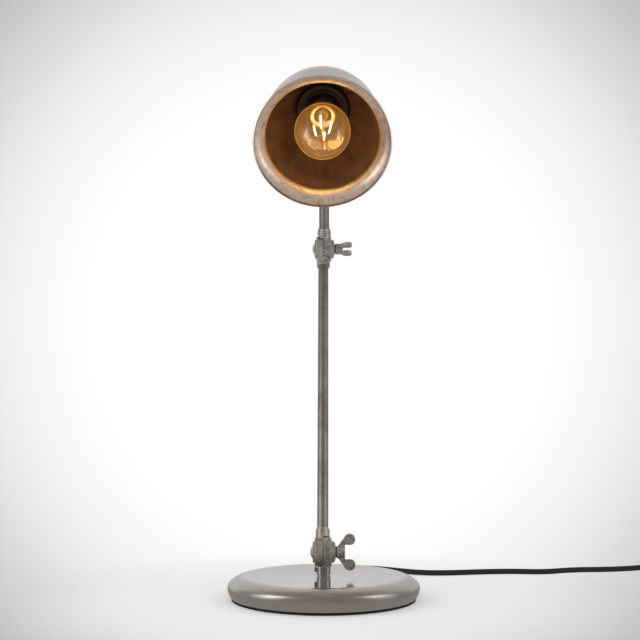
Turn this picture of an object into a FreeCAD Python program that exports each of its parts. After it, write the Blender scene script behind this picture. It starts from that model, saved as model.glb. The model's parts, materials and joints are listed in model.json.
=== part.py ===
import FreeCAD, Part
import math
import os
import re

import Sketcher
from FreeCAD import Placement, Vector

# A tabletop searchlight lamp: a weighted round base, a stem and an arm of tube
# joined by three serrated knuckles with wing nuts, a bell-mouthed shade with a
# globe bulb, and a mains lead with an in-line rocker switch and a three-pin plug.
# Millimetres, +Z up, origin at the centre of the pad's underside. The shade faces -Y
# and every knuckle turns about an axis along X.

SHEET = "Sizes"

SIZES = {
    # weighted base
    "base_radius": 100.4,
    "base_height": 23.6,
    "edge_reach": 18.4,
    "belly_height": 12.4,
    "belly_curve": 7,
    "foot_tuck": 3.6,
    "base_wall": 1.4,
    "pad_inset": 0.4,
    "pad_thick": 2.5,
    "weight_gap": 2.9,
    "weight_top": 13.6,
    "weight_bevel": 3,
    "boss_radius": 24,
    "channel_width": 10,
    "stud_radius": 5,
    "stud_nut_across": 17,
    "stud_nut_thick": 6.5,
    "stud_washer_radius": 11,
    "stud_washer_thick": 1.5,
    "recess_radius": 14,
    "recess_roof": 12.5,
    # post between base and lower knuckle
    "post_radius": 7.6,
    "post_undercut": 1,
    "post_line": 0.8,
    "axis_rise": 24.1,
    "spigot_radius": 4.5,
    "grub_height": 6,
    "grub_radius": 2,
    "grub_head": 1.9,
    "grub_rim": 0.5,
    # knuckles
    "drum_radius": 15,
    "drum_width": 9,
    "drum_bevel": 0.9,
    "shoulder_radius": 11.3,
    "head_shoulder": 1.9,
    "nut_shoulder": 2.6,
    "cone_width": 1.5,
    "cone_rim": 3.4,
    "socket_offset": 0.5,
    "collar_wall": 1.5,
    "upper_collar_wall": 2,
    "collar_length": 10,
    "collar_step": 1.6,
    "socket_web": 1.4,
    "overhang_gap": 1.6,
    "crest_gap": 0.05,
    "tooth_depth": 1.1,
    "tooth_count": 36,
    "tooth_hub": 2.8,
    "tooth_overrun": 0.2,
    # bolts, washers and wing nuts
    "bolt_radius": 4,
    "bolt_dome": 2.7,
    "bolt_dome_rim": 3.1,
    "washer_rim": 1.6,
    "washer_thick": 1.2,
    "nut_wall": 2.6,
    "nut_length": 8.6,
    "nut_bevel": 0.3,
    "wing_radius": 5.9,
    "wing_centre_out": 13.6,
    "wing_centre_up": 13.1,
    "wing_slope": 54,
    "wing_corner": 20,
    "wing_root": 1.4,
    "wing_thick": 3.2,
    "upper_nut_turn": 76,
    # stem and arm
    "tube_radius": 6,
    "tube_wall": 1.2,
    "stem_length": 371.5,
    "stem_lean": 23.2,
    "arm_length": 188.2,
    "arm_lean": 16.9,
    # shade: its back is measured from the hinge, and the rest from its back
    "shade_dip": 35,
    "shade_reach": 55.45,
    "flare_rise": 9,
    "rim_bead": 1.4,
    "throat_bead": 1.1,
    "flare_length": 30,
    "shade_radius": 63.6,
    "dome_start": 47.4,
    "dome_curve": 75,
    "shade_back": 22,
    "shade_wall": 1.2,
    # neck behind the shade
    "cap_radius": 21.5,
    "cap_wall": 1.6,
    "cap_barrel": 13,
    "nipple_radius": 5,
    "nipple_bore": 3.4,
    # lampholder
    "holder_wall": 5,
    "holder_length": 35,
    "holder_floor": 4,
    "holder_play": 0.8,
    "holder_bevel": 2,
    "ring_flange": 9.2,
    "ring_depth": 10,
    "ring_lift": 4.4,
    "ring_bevel": 3,
    "rib_edge": 1,
    "rib_pitch": 4,
    "rib_width": 2,
    "rib_slope": 0.4,
    "rib_depth": 1.2,
    "contact_radius": 4,
    "contact_height": 1.6,
    "contact_thick": 0.6,
    # bulb
    "bulb_radius": 30,
    "bulb_length": 102,
    "glass_wall": 0.8,
    "glass_neck": 12.9,
    "globe_angle": 40,
    "lamp_cap_radius": 13.6,
    "lamp_cap_length": 26,
    "lamp_cap_grip": 5,
    "lamp_cap_foot": 5,
    "mount_radius": 2.4,
    "mount_foot": 1.5,
    "mount_flare": 14,
    "mount_length": 31,
    "filament_radius": 0.9,
    "filament_back": 10,
    "filament_front": 6.4,
    "filament_span": 37,
    "filament_start": 26,
    "filament_turn": 12,
    "lead_radius": 0.35,
    # mains lead
    "cord_radius": 3.2,
    "exit_height": 8,
    "exit_droop": 6,
    "relief_length": 33,
    "relief_wall": 0.7,
    "relief_swell": 1.1,
    "relief_flange": 1,
    "relief_groove": 0.7,
    "relief_root": 6,
    "coil_radius": 36,
    "coil_rows": 3,
    "coil_layers": 2,
    # in-line switch
    "switch_length": 62,
    "switch_width": 27,
    "switch_height": 17,
    "switch_split": 8.2,
    "switch_taper": 9,
    "switch_neck": 2.6,
    "switch_corner": 2,
    "switch_edge": 2.4,
    "switch_bevel": 0.8,
    "window_length": 19,
    "window_width": 11,
    "rocker_end_gap": 1.2,
    "rocker_side_gap": 0.6,
    "rocker_height": 7.6,
    "rocker_nose": 1.6,
    "rocker_tilt": 7,
    "pivot_height": 13,
    "pivot_radius": 1.4,
    "pivot_overlap": 2,
    # plug
    "plug_length": 50,
    "plug_width": 48,
    "plug_thick": 25,
    "plug_split": 10,
    "plug_corner": 9,
    "plug_bevel": 1.5,
    "plug_edge": 2,
    "plug_entry": 12.6,
    "boot_radius": 5.4,
    "boot_length": 9,
    "pin_thick": 4,
    "line_pin_width": 6.35,
    "line_pin_length": 17.7,
    "line_pin_spread": 22.2,
    "earth_pin_width": 8,
    "earth_pin_length": 22.7,
    "earth_pin_forward": 22.2,
    "earth_pin_inset": 11,
    # fits
    "running_fit": 0.08,
    "press_fit": 0.03,
    "clearance": 0.4,
}

# The lead's route on the table: the corners of its straight runs, from the strain
# relief's tip to the switch, from the switch to the coil and from the coil to the
# plug. Each is x, the distance behind the base's rim, and the lift off the table.
LEAD_ROUTE = [
    (0, 31.4, 1.2), (0, 56.6, 0), (13, 78.6, 0), (36, 91.1, 0), (62, 88.6, 0),
    (88, 70.6, 0), (113, 54.6, 0), (143, 52.1, 0), (180, 60.6, 0), (222, 67.1, 0),
    (262, 60.6, 0), (299, 79.6, 0), (345, 82.1, 0), (384, 89.6, 0.8), (410, 95.6, 3.8),
]
COIL_ROUTE = [(470.4, 109.5, 3.8), (489.6, 114.2, 0.8), (509, 110.6, 0)]
PLUG_ROUTE = [(553.4, 49.6, 6.4), (549.6, 35.6, 7.6), (545.4, 22.1, 9.4)]

# The switch, the coil and the plug: x, the distance behind the rim, and the turn.
SWITCH_PLACE = (440.2, 102.5, 12.99)
COIL_PLACE = (512, 65.6, 0)
PLUG_PLACE = (540.1, 4.9, 162.7)

OUTPUT = "parts"

document = FreeCAD.newDocument("SearchlightLamp")
sheet = document.addObject("Spreadsheet::Sheet", SHEET)
made = []


def fill_sheet():
    """Writes every driving dimension into a cell of its own, under its own alias."""
    for row, (alias, number) in enumerate(SIZES.items(), start=1):
        cell = "A%d" % row
        sheet.set(cell, str(number))
        sheet.setAlias(cell, alias)
    document.recompute()


def bound(text):
    """The expression with each alias as the sheet's own cell."""

    def prefixed(word):
        """One word, with the sheet's name before it where it is an alias."""
        return "%s.%s" % (SHEET, word.group()) if word.group() in SIZES else word.group()

    return re.sub(r"[a-z_]+", prefixed, str(text))


def value(text):
    """The number that an expression of aliases gives."""
    result = sheet.evalExpression(str(text))
    return float(getattr(result, "Value", result))


# ---------------------------------------------------------------- frames


def frame(x, y, z, axis="1; 0; 0", angle="0"):
    """A placement as an expression: a place, and a turn about an axis there."""
    return "placement(vector(%s; %s; %s); rotation(vector(%s); %s))" % (x, y, z, axis, angle)


SEAM = "-socket_offset"
LOWER_Z = "(base_height + axis_rise)"
UPPER_Y = "(stem_length * sin(stem_lean))"
UPPER_Z = "(base_height + axis_rise + stem_length * cos(stem_lean))"
HEAD_Y = "(%s - arm_length * sin(arm_lean))" % UPPER_Y
HEAD_Z = "(%s + arm_length * cos(arm_lean))" % UPPER_Z

BASE = frame(0, 0, 0)
LOWER = frame(SEAM, 0, LOWER_Z)
STEM = frame(SEAM, 0, LOWER_Z, angle="-stem_lean")
ARM = frame(SEAM, UPPER_Y, UPPER_Z, angle="arm_lean")
HEAD = frame(SEAM, HEAD_Y, HEAD_Z, angle="90 + shade_dip")

TURN_ABOUT_Y = frame(0, 0, 0, "0; 1; 0", "180")
TURN_ABOUT_Z = frame(0, 0, 0, "0; 0; 1", "180")

# Sizes that follow from others.
FLAT_RADIUS = "(base_radius - edge_reach)"
FOOT_RADIUS = "(base_radius - foot_tuck)"
COLLAR_RADIUS = "(tube_radius + collar_wall)"
UPPER_COLLAR_RADIUS = "(tube_radius + upper_collar_wall)"
COLLAR_REACH = "(drum_radius + collar_length)"
SOCKET_FLOOR = "(drum_radius + overhang_gap + socket_web)"
NUT_RADIUS = "(bolt_radius + nut_wall)"
RIM_RADIUS = "(shade_radius + flare_rise)"
RELIEF_TIP = "(cord_radius + relief_wall)"
RELIEF_RADIUS = "(cord_radius + relief_wall + relief_swell)"


def place(item, *chain):
    """Binds an object's placement to a chain of frames, each inside the one before."""
    item.setExpression("Placement", bound(" * ".join(chain)))


# ---------------------------------------------------------------- sketches and features


def new_body(label):
    """A body that becomes the sub-part of that name."""
    body = document.addObject("PartDesign::Body", label)
    body.Label = label
    made.append(body)
    return body


def origin_feature(body, role):
    """The body's own plane or axis of that role."""
    return [item for item in body.Origin.OriginFeatures if item.Role == role][0]


def new_sketch(body, role, offset="0"):
    """A sketch on one of the body's own planes, moved along its normal."""
    sketch = body.newObject("Sketcher::SketchObject", body.Label + "_sketch")
    sketch.AttachmentSupport = [(origin_feature(body, role), "")]
    sketch.MapMode = "FlatFace"
    sketch.setExpression("AttachmentOffset.Base.z", bound(offset))
    return sketch


def pin(sketch, kind, edge, end, text):
    """Holds one end of an edge at a distance from the sketch's origin."""
    rule = Sketcher.Constraint(kind, -1, 1, edge, end, value(text))
    number = sketch.addConstraint(rule)
    sketch.setExpression("Constraints[%d]" % number, bound(text))


def arc_between(start, end, radius, turn):
    """The shorter arc from start to end; turn is 1 counterclockwise or -1 clockwise."""
    chord = end - start
    half = chord.Length / 2
    rise = math.sqrt(max(radius * radius - half * half, 0))
    side = Vector(-chord.y, chord.x, 0).normalize() * turn
    centre = start + chord / 2 + side * rise
    first, last = (start, end) if turn > 0 else (end, start)
    angles = [math.atan2(p.y - centre.y, p.x - centre.x) for p in (first, last)]
    return Part.ArcOfCircle(Part.Circle(centre, Vector(0, 0, 1), radius), *angles)


def outline(sketch, corners, arcs=None):
    """Draws a closed outline. arcs maps a corner's number to the radius and turn of
    the arc that leaves it; every other side is straight."""
    arcs = arcs or {}
    points = [Vector(value(x), value(y), 0) for x, y in corners]
    ends = []
    for number, start in enumerate(points):
        end = points[(number + 1) % len(points)]
        if number in arcs:
            radius, turn = arcs[number]
            edge = sketch.addGeometry(arc_between(start, end, value(radius), turn))
            ends.append((edge, 1, 2) if turn > 0 else (edge, 2, 1))
            rule = sketch.addConstraint(Sketcher.Constraint("Radius", edge, value(radius)))
            sketch.setExpression("Constraints[%d]" % rule, bound(radius))
        else:
            ends.append((sketch.addGeometry(Part.LineSegment(start, end)), 1, 2))
    for number, (edge, start, end) in enumerate(ends):
        follower = ends[(number + 1) % len(ends)]
        sketch.addConstraint(Sketcher.Constraint("Coincident", edge, end, follower[0], follower[1]))
        pin(sketch, "DistanceX", edge, start, corners[number][0])
        pin(sketch, "DistanceY", edge, start, corners[number][1])
    return sketch


def circle(sketch, x, y, radius):
    """Draws a circle whose centre and radius are expressions."""
    centre = Vector(value(x), value(y), 0)
    edge = sketch.addGeometry(Part.Circle(centre, Vector(0, 0, 1), value(radius)))
    rule = sketch.addConstraint(Sketcher.Constraint("Radius", edge, value(radius)))
    sketch.setExpression("Constraints[%d]" % rule, bound(radius))
    pin(sketch, "DistanceX", edge, 3, x)
    pin(sketch, "DistanceY", edge, 3, y)
    return sketch


def box_corners(left, right, low, high):
    """The corners of a rectangle."""
    return [(left, low), (right, low), (right, high), (left, high)]


def revolve(body, role, axis, corners, arcs=None):
    """Adds a full turn of an outline about its sketch's own axis."""
    sketch = outline(new_sketch(body, role), corners, arcs)
    feature = body.newObject("PartDesign::Revolution", body.Label + "_turn")
    feature.Profile = sketch
    feature.ReferenceAxis = (sketch, [axis])
    feature.Angle = 360
    return feature


def turned(label, corners, arcs=None):
    """A body turned about Z; an outline's x is the radius and its y the height."""
    body = new_body(label)
    revolve(body, "XZ_Plane", "V_Axis", corners, arcs)
    return body


def turned_on_x(label, corners, arcs=None):
    """A body turned about X; an outline's x runs along the axis and its y is the radius."""
    body = new_body(label)
    revolve(body, "XY_Plane", "H_Axis", corners, arcs)
    return body


def extrude(body, kind, sketch, length, midplane=False, backwards=False):
    """Pads or pockets a sketch by a length. A pad runs along the plane's normal and a
    pocket against it, unless it is asked to run backwards."""
    feature = body.newObject("PartDesign::" + kind, body.Label + "_" + kind.lower())
    feature.Profile = sketch
    feature.SideType = "Symmetric" if midplane else "One side"
    feature.Reversed = backwards
    feature.setExpression("Length", bound(length))
    return feature


def cut_down(body, sketch, length, midplane=False, backwards=False):
    """Pockets a sketch, and makes sure that it took something away."""
    document.recompute()
    before = body.Shape.Volume
    feature = extrude(body, "Pocket", sketch, length, midplane, backwards)
    document.recompute()
    if body.Shape.Volume > before - 1e-3:
        raise RuntimeError("a pocket of %s cuts nothing" % body.Label)
    return feature


def dress(body, kind, size, chosen):
    """Fillets or chamfers the edges of the body that chosen picks."""
    document.recompute()
    names = ["Edge%d" % (i + 1) for i, edge in enumerate(body.Shape.Edges) if chosen(edge)]
    base = body.Tip
    feature = body.newObject("PartDesign::" + kind, body.Label + "_" + kind.lower())
    feature.Base = (base, names)
    feature.setExpression("Radius" if kind == "Fillet" else "Size", bound(size))
    return feature


def upright(edge):
    """Whether an edge is a straight one along Z."""
    low, high = edge.BoundBox.ZMin, edge.BoundBox.ZMax
    return edge.Curve.TypeId == "Part::GeomLine" and abs(edge.Length - (high - low)) < 1e-4


def level_at(height):
    """Picks the edges that lie at a height given by an expression."""
    z = value(height)
    return lambda edge: abs(edge.BoundBox.ZMin - z) < 1e-4 and abs(edge.BoundBox.ZMax - z) < 1e-4


# ---------------------------------------------------------------- weighted base


def base_curve(inset):
    """The base's outer curve as corners and arcs, moved inwards by inset: from the edge
    of the flat top over the shoulder and the belly to the foot."""
    reach = "edge_reach"
    drop = "(base_height - belly_height)"
    sweep = "(2 * atan((%s - belly_curve) / (%s - belly_curve)))" % (drop, reach)
    shoulder = "((%s - belly_curve) / sin(%s) + belly_curve)" % (reach, sweep)
    tuck = "foot_tuck"
    fall = "(belly_height - pad_thick)"
    under = "((%s ^ 2 + %s ^ 2) / (2 * %s))" % (fall, tuck, tuck)
    corners = [
        (FLAT_RADIUS, "base_height - %s" % inset),
        ("%s + (%s - %s) * sin(%s)" % (FLAT_RADIUS, shoulder, inset, sweep),
         "base_height - %s + (%s - %s) * cos(%s)" % (shoulder, shoulder, inset, sweep)),
        ("base_radius - %s" % inset, "belly_height"),
        ("%s - %s * (%s - %s) / %s" % (FOOT_RADIUS, inset, under, tuck, under),
         "pad_thick + %s * %s / %s" % (inset, fall, under)),
    ]
    radii = ["%s - %s" % (shoulder, inset), "belly_curve - %s" % inset, "%s - %s" % (under, inset)]
    return corners, radii


def make_base():
    """The spun shell, its iron weight and the felt pad, one inside the other."""
    outer, outer_radii = base_curve("0")
    inner, inner_radii = base_curve("base_wall")
    bore = "stud_radius + press_fit"
    corners = [(bore, "base_height")] + outer
    lip = [(inner[3][0], "pad_thick")]
    corners += lip + inner[::-1] + [(bore, "base_height - base_wall")]
    arcs = {1 + i: (radius, -1) for i, radius in enumerate(outer_radii)}
    arcs.update({6 + i: (radius, 1) for i, radius in enumerate(inner_radii[::-1])})
    shell = turned("base_shell", corners, arcs)
    hole = circle(new_sketch(shell, "XZ_Plane"), "0", "exit_height", RELIEF_TIP + " + clearance")
    cut_down(shell, hole, "base_radius + clearance")
    place(shell, BASE)

    roof = "base_height - base_wall"
    rim = FOOT_RADIUS + " - base_wall - weight_gap"
    weight = turned("base_weight", [
        ("stud_radius + clearance", "pad_thick"), (rim, "pad_thick"),
        (rim, "weight_top - weight_bevel"),
        (rim + " - weight_bevel", "weight_top"), ("boss_radius", "weight_top"),
        ("boss_radius", roof), ("stud_radius + clearance", roof)])
    recess = circle(new_sketch(weight, "XY_Plane"), "0", "0", "recess_radius")
    cut_down(weight, recess, "recess_roof", backwards=True)
    channel = outline(new_sketch(weight, "XY_Plane"), box_corners(
        "-channel_width / 2", "channel_width / 2", "0", "base_radius"))
    cut_down(weight, channel, "weight_top", backwards=True)
    place(weight, BASE)

    edge = FOOT_RADIUS + " - pad_inset"
    pad = turned("base_pad", [("0", "0"), (edge, "0"), (edge, "pad_thick"), ("0", "pad_thick")])
    place(pad, BASE)


def make_post():
    """The polished post that the lower knuckle stands in, with its stud, washer, nut
    and grub screw. Its foot is undercut and its top is cut to the knuckle's two drums."""
    foot = "pad_thick + clearance"
    nut_top = "recess_roof - stud_washer_thick"
    post = turned("foot_post", [
        ("0", foot), ("stud_radius", foot), ("stud_radius", "base_height"),
        ("post_radius - post_undercut", "base_height"),
        ("post_radius - post_undercut", "base_height + post_line"),
        ("post_radius", "base_height + post_line"), ("post_radius", LOWER_Z), ("0", LOWER_Z)])
    fixed = circle(new_sketch(post, "YZ_Plane", SEAM), "0", LOWER_Z, "drum_radius")
    cut_down(post, fixed, "drum_width + shoulder_radius", backwards=True)
    moving = circle(new_sketch(post, "YZ_Plane", SEAM), "0", LOWER_Z, "drum_radius + overhang_gap")
    cut_down(post, moving, "drum_width + shoulder_radius")
    depth = "grub_height - grub_radius"
    bore = circle(new_sketch(post, "XY_Plane", "base_height + " + depth), "0", "0",
                  "spigot_radius + press_fit")
    cut_down(post, bore, LOWER_Z, backwards=True)
    grub_hole = circle(new_sketch(post, "YZ_Plane"), "0", "base_height + grub_height",
                       "grub_radius + press_fit")
    cut_down(post, grub_hole, "post_radius + clearance")
    place(post, BASE)

    washer = turned("stud_washer", [
        ("stud_radius + clearance", nut_top), ("stud_washer_radius", nut_top),
        ("stud_washer_radius", "recess_roof"), ("stud_radius + clearance", "recess_roof")])
    place(washer, BASE)

    nut = new_body("stud_nut")
    angles = [60 * i for i in range(6)]
    hexagon = [("stud_nut_across / 2 / cos(30) * cos(%d)" % a,
                "stud_nut_across / 2 / cos(30) * sin(%d)" % a) for a in angles]
    sketch = outline(new_sketch(nut, "XY_Plane"), hexagon)
    circle(sketch, "0", "0", "stud_radius + running_fit")
    extrude(nut, "Pad", sketch, "stud_nut_thick")
    place(nut, BASE, frame(0, 0, nut_top + " - stud_nut_thick"))

    grub = turned("post_grub_screw", [
        ("0", "spigot_radius + press_fit"), ("grub_radius", "spigot_radius + press_fit"),
        ("grub_radius", "post_radius"), ("grub_radius + grub_rim", "post_radius"),
        ("grub_radius + grub_rim", "post_radius + grub_head"), ("0", "post_radius + grub_head")])
    place(grub, BASE, frame(0, 0, "base_height + grub_height", "0; 1; 0", "-90"))


# ---------------------------------------------------------------- knuckles


def serrate(body):
    """Cuts the ring of radial V-grooves into the seam face: one groove that widens from
    the hub to the rim, repeated round the hinge axis."""
    sections = []
    for radius in ("bolt_radius + tooth_hub", "drum_radius + tooth_overrun"):
        half = "(0.82 * %s * tan(180 / tooth_count))" % ("(" + radius + ")")
        spread = half + " * (1 + crest_gap + tooth_depth) / tooth_depth"
        sketch = new_sketch(body, "XY_Plane", radius)
        sections.append(outline(sketch, [
            ("-crest_gap - tooth_depth", "0"), ("1", "-" + spread), ("1", spread)]))
    groove = body.newObject("PartDesign::SubtractiveLoft", body.Label + "_groove")
    groove.Profile = sections[0]
    groove.Sections = [sections[1]]
    groove.Ruled = True
    document.recompute()
    before = body.Shape.Volume
    ring = body.newObject("PartDesign::PolarPattern", body.Label + "_serrations")
    ring.Originals = [groove]
    ring.Axis = (origin_feature(body, "X_Axis"), [""])
    ring.Angle = 360
    ring.setExpression("Occurrences", bound("tooth_count"))
    body.Tip = ring
    document.recompute()
    if body.Shape.Volume > before - 1e-3:
        raise RuntimeError("the serrations of %s cut nothing" % body.Label)


def knuckle_half(label, neck, reach, bolt_hole, socket=None, nut_side=False):
    """One half of a knuckle, on the -X side of the seam with its neck along +Z. The neck
    straddles the seam and is cut back round the other half's drum."""
    body = new_body(label)
    face = "drum_width + " + ("nut_shoulder" if nut_side else "head_shoulder")
    side = [("-crest_gap", "0"), ("-crest_gap", "drum_radius"),
            ("-drum_width + drum_bevel", "drum_radius"),
            ("-drum_width", "drum_radius - drum_bevel"), ("-drum_width", "shoulder_radius"),
            ("-(%s)" % face, "shoulder_radius - drum_bevel / 2")]
    if nut_side:
        face += " + cone_width"
        side.append(("-(%s)" % face, "bolt_radius + cone_rim"))
    side.append(("-(%s)" % face, "0"))
    revolve(body, "XY_Plane", "H_Axis", side)

    neck_at = "-socket_offset"
    stem = circle(new_sketch(body, "XY_Plane"), neck_at, "0", neck)
    extrude(body, "Pad", stem, reach if socket is None else reach + " - collar_step")
    if socket is not None:
        step = circle(new_sketch(body, "XY_Plane"), neck_at, "0", neck + " - collar_step / 2")
        extrude(body, "Pad", step, reach)
    sweep = circle(new_sketch(body, "YZ_Plane", "-crest_gap"), "0", "0",
                   "drum_radius + overhang_gap")
    cut_down(body, sweep, "drum_width + " + neck, backwards=True)
    hole = circle(new_sketch(body, "YZ_Plane"), "0", "0", bolt_hole)
    cut_down(body, hole, "2 * (%s + clearance)" % face, midplane=True)
    if socket is not None:
        seat = circle(new_sketch(body, "XY_Plane", SOCKET_FLOOR), neck_at, "0", socket)
        cut_down(body, seat, reach, backwards=True)
    serrate(body)
    return body


def make_knuckles():
    """The six halves of the three knuckles, each turned to its own side and direction."""
    tight, loose = "bolt_radius + press_fit", "bolt_radius + running_fit"
    tube_socket = "tube_radius + press_fit"
    nipple_socket = "nipple_radius + press_fit"
    spigot_end = "axis_rise - grub_height + grub_radius"
    fixed = knuckle_half("base_knuckle", "spigot_radius", spigot_end, loose, nut_side=True)
    place(fixed, LOWER, TURN_ABOUT_Y)
    foot = knuckle_half("stem_foot_knuckle", COLLAR_RADIUS, COLLAR_REACH, tight, tube_socket)
    place(foot, STEM)
    top = knuckle_half("stem_head_knuckle", UPPER_COLLAR_RADIUS, COLLAR_REACH, tight,
                       tube_socket)
    place(top, STEM, frame(0, 0, "stem_length", angle="180"))
    elbow = knuckle_half("arm_foot_knuckle", UPPER_COLLAR_RADIUS, COLLAR_REACH, loose,
                         tube_socket, nut_side=True)
    place(elbow, ARM, TURN_ABOUT_Z)
    wrist = knuckle_half("arm_head_knuckle", UPPER_COLLAR_RADIUS, COLLAR_REACH, loose,
                         tube_socket, nut_side=True)
    place(wrist, ARM, frame(0, 0, "arm_length"), TURN_ABOUT_Y)
    neck = knuckle_half("head_knuckle", UPPER_COLLAR_RADIUS, COLLAR_REACH, tight,
                        nipple_socket)
    place(neck, HEAD)


def make_tubes():
    """The two tubes, each pushed into the sockets of its knuckles."""
    tubes = (("stem_tube", STEM, "-socket_offset", "stem_length"),
             ("arm_tube", ARM, "socket_offset", "arm_length"))
    for label, home, x, length in tubes:
        body = new_body(label)
        sketch = circle(new_sketch(body, "XY_Plane"), "0", "0", "tube_radius")
        circle(sketch, "0", "0", "tube_radius - tube_wall")
        extrude(body, "Pad", sketch, length + " - 2 * " + SOCKET_FLOOR)
        place(body, home, frame(x, 0, SOCKET_FLOOR))


NUT_FACE = "(drum_width + nut_shoulder + cone_width)"


def make_bolts():
    """Each knuckle's domed bolt and its spring washer."""
    head_face = "drum_width + head_shoulder"
    tip = NUT_FACE + " + washer_thick + nut_length - clearance"
    dome_edge = "(bolt_radius + bolt_dome_rim)"
    dome = "((bolt_dome ^ 2 + %s ^ 2) / (2 * bolt_dome))" % dome_edge
    homes = (("lower", STEM), ("upper", frame(SEAM, UPPER_Y, UPPER_Z)), ("head", HEAD))
    for name, home in homes:
        bolt = turned_on_x(name + "_bolt", [
            ("-(%s) - bolt_dome" % head_face, "0"), ("-(%s)" % head_face, dome_edge),
            ("-(%s)" % head_face, "bolt_radius"), (tip, "bolt_radius"), (tip, "0")],
            {0: (dome, -1)})
        place(bolt, home)
        washer = turned_on_x(name + "_washer", [
            (NUT_FACE, "bolt_radius + running_fit"), (NUT_FACE, "bolt_radius + washer_rim"),
            (NUT_FACE + " + washer_thick", "bolt_radius + washer_rim"),
            (NUT_FACE + " + washer_thick", "bolt_radius + running_fit")])
        place(washer, home)


def make_wing_nut(label, home, turn):
    """A cast wing nut: a round hub with two lobed wings that lean away from the knuckle."""
    nut = turned_on_x(label, [
        ("0", "bolt_radius + running_fit"), ("0", NUT_RADIUS + " - nut_bevel"),
        ("nut_bevel", NUT_RADIUS), ("nut_length", NUT_RADIUS + " - nut_bevel"),
        ("nut_length", "bolt_radius + running_fit")])
    root = "(%s - wing_root)" % NUT_RADIUS
    lobe_x = "(wing_centre_out - wing_radius * sin(wing_slope))"
    lobe_y = "(wing_centre_up + wing_radius * cos(wing_slope))"
    under = "wing_centre_up - wing_radius * cos(wing_corner)"
    for side in (1, -1):
        start = "(%s - (%s - %s) / tan(wing_slope))" % (lobe_x, lobe_y, root)
        corners = [
            (start, root), (lobe_x, lobe_y),
            ("wing_centre_out + wing_radius * cos(wing_corner)",
             "wing_centre_up + wing_radius * sin(wing_corner)"),
            ("wing_centre_out + wing_radius * sin(wing_corner)", under), ("nut_length", under),
            ("nut_length", root)]
        corners = [(x, "%d * (%s)" % (side, y)) for x, y in corners]
        arcs = {1: ("wing_radius", -side), 2: ("wing_radius", -side)}
        wing = outline(new_sketch(nut, "XZ_Plane"), corners, arcs)
        extrude(nut, "Pad", wing, "wing_thick", midplane=True)
    place(nut, home, frame(NUT_FACE + " + washer_thick", 0, 0, angle=turn))


def make_wing_nuts():
    """The three wing nuts, each as it was left when it was last tightened."""
    make_wing_nut("lower_wing_nut", LOWER, "0")
    make_wing_nut("upper_wing_nut", frame(SEAM, UPPER_Y, UPPER_Z), "upper_nut_turn")
    make_wing_nut("head_wing_nut", frame(SEAM, HEAD_Y, HEAD_Z), "90")


# ---------------------------------------------------------------- head


DOME_RISE = "(dome_curve - shade_radius + shade_back)"
DOME_Z = "(shade_reach + sqrt(dome_curve ^ 2 - %s ^ 2))" % DOME_RISE
RIM_Z = "(%s + dome_start)" % DOME_Z
SHADE_FLOOR = "(%s - sqrt((dome_curve - shade_wall) ^ 2 - %s ^ 2))" % (DOME_Z, DOME_RISE)
ON_AXIS = frame("-socket_offset", 0, 0)


def make_shade():
    """The spun shade: a flat back, a domed shoulder and a straight barrel, one wall
    thick, with the bell of its mouth pressed onto the barrel's end."""
    flare_z = "(%s - flare_length)" % RIM_Z
    hole, thin = "nipple_radius + running_fit", "shade_radius - shade_wall"
    place(turned("shade", [
        (hole, "shade_reach"), ("shade_back", "shade_reach"), ("shade_radius", DOME_Z),
        ("shade_radius", flare_z), (thin, flare_z), (thin, DOME_Z),
        ("shade_back", SHADE_FLOOR), (hole, SHADE_FLOOR)],
        {1: ("dome_curve", 1), 5: ("dome_curve - shade_wall", -1)}), HEAD, ON_AXIS)

    rise, run = "(flare_rise - rim_bead)", "(flare_length - 2 * rim_bead)"
    flare = "((%s ^ 2 + %s ^ 2) / (2 * %s))" % (run, rise, rise)
    share = "(%s + shade_wall) / %s" % (flare, flare)
    lip = RIM_RADIUS + " - rim_bead"
    root = "shade_radius + %s - sqrt((%s + shade_wall) ^ 2 - (2 * throat_bead) ^ 2)" % (flare, flare)
    place(turned("shade_bell", [
        ("shade_radius", flare_z), (lip, RIM_Z + " - 2 * rim_bead"),
        (RIM_RADIUS, RIM_Z + " - rim_bead"), (lip, RIM_Z),
        ("shade_radius + %s - %s * (%s - %s)" % (flare, share, flare, rise),
         "%s + %s * %s" % (flare_z, share, run)),
        (root, flare_z + " + 2 * throat_bead"), (thin, flare_z)],
        {0: (flare, -1), 1: ("rim_bead", 1), 2: ("rim_bead", 1), 4: (flare + " + shade_wall", 1),
         5: ("1.05 * throat_bead", 1)}), HEAD, ON_AXIS)


def make_neck():
    """The cap behind the shade and the threaded nipple that pulls the head together.
    Both faces of the cap's bowl run tangent into its barrel."""
    bore = "nipple_radius + running_fit"
    barrel = "(shade_reach - cap_barrel)"
    throat = "(%s + cap_wall)" % UPPER_COLLAR_RADIUS
    floor, ledge = COLLAR_REACH + " + 2 * cap_wall", barrel + " + cap_wall / 2"
    run, rise = "(%s - %s)" % (barrel, COLLAR_REACH), "(cap_radius - %s)" % throat
    inner_run, inner_rise = "(%s - (%s))" % (ledge, floor), "(%s - cap_wall)" % rise
    bowl = "(%s ^ 2 + %s ^ 2) / (2 * %s)"
    cap = turned("neck_cap", [
        (bore, COLLAR_REACH), (throat, COLLAR_REACH), ("cap_radius", barrel),
        ("cap_radius", "shade_reach"), ("cap_radius - cap_wall", "shade_reach"),
        ("cap_radius - cap_wall", ledge), (throat, floor), (bore, floor)],
        {1: (bowl % (run, rise, rise), 1), 5: (bowl % (inner_run, inner_rise, inner_rise), -1)})
    place(cap, HEAD, ON_AXIS)
    top = SHADE_FLOOR + " + holder_floor"
    nipple = turned("neck_nipple", [
        ("nipple_bore", SOCKET_FLOOR), ("nipple_radius", SOCKET_FLOOR),
        ("nipple_radius", top), ("nipple_bore", top)])
    place(nipple, HEAD, ON_AXIS)


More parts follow.
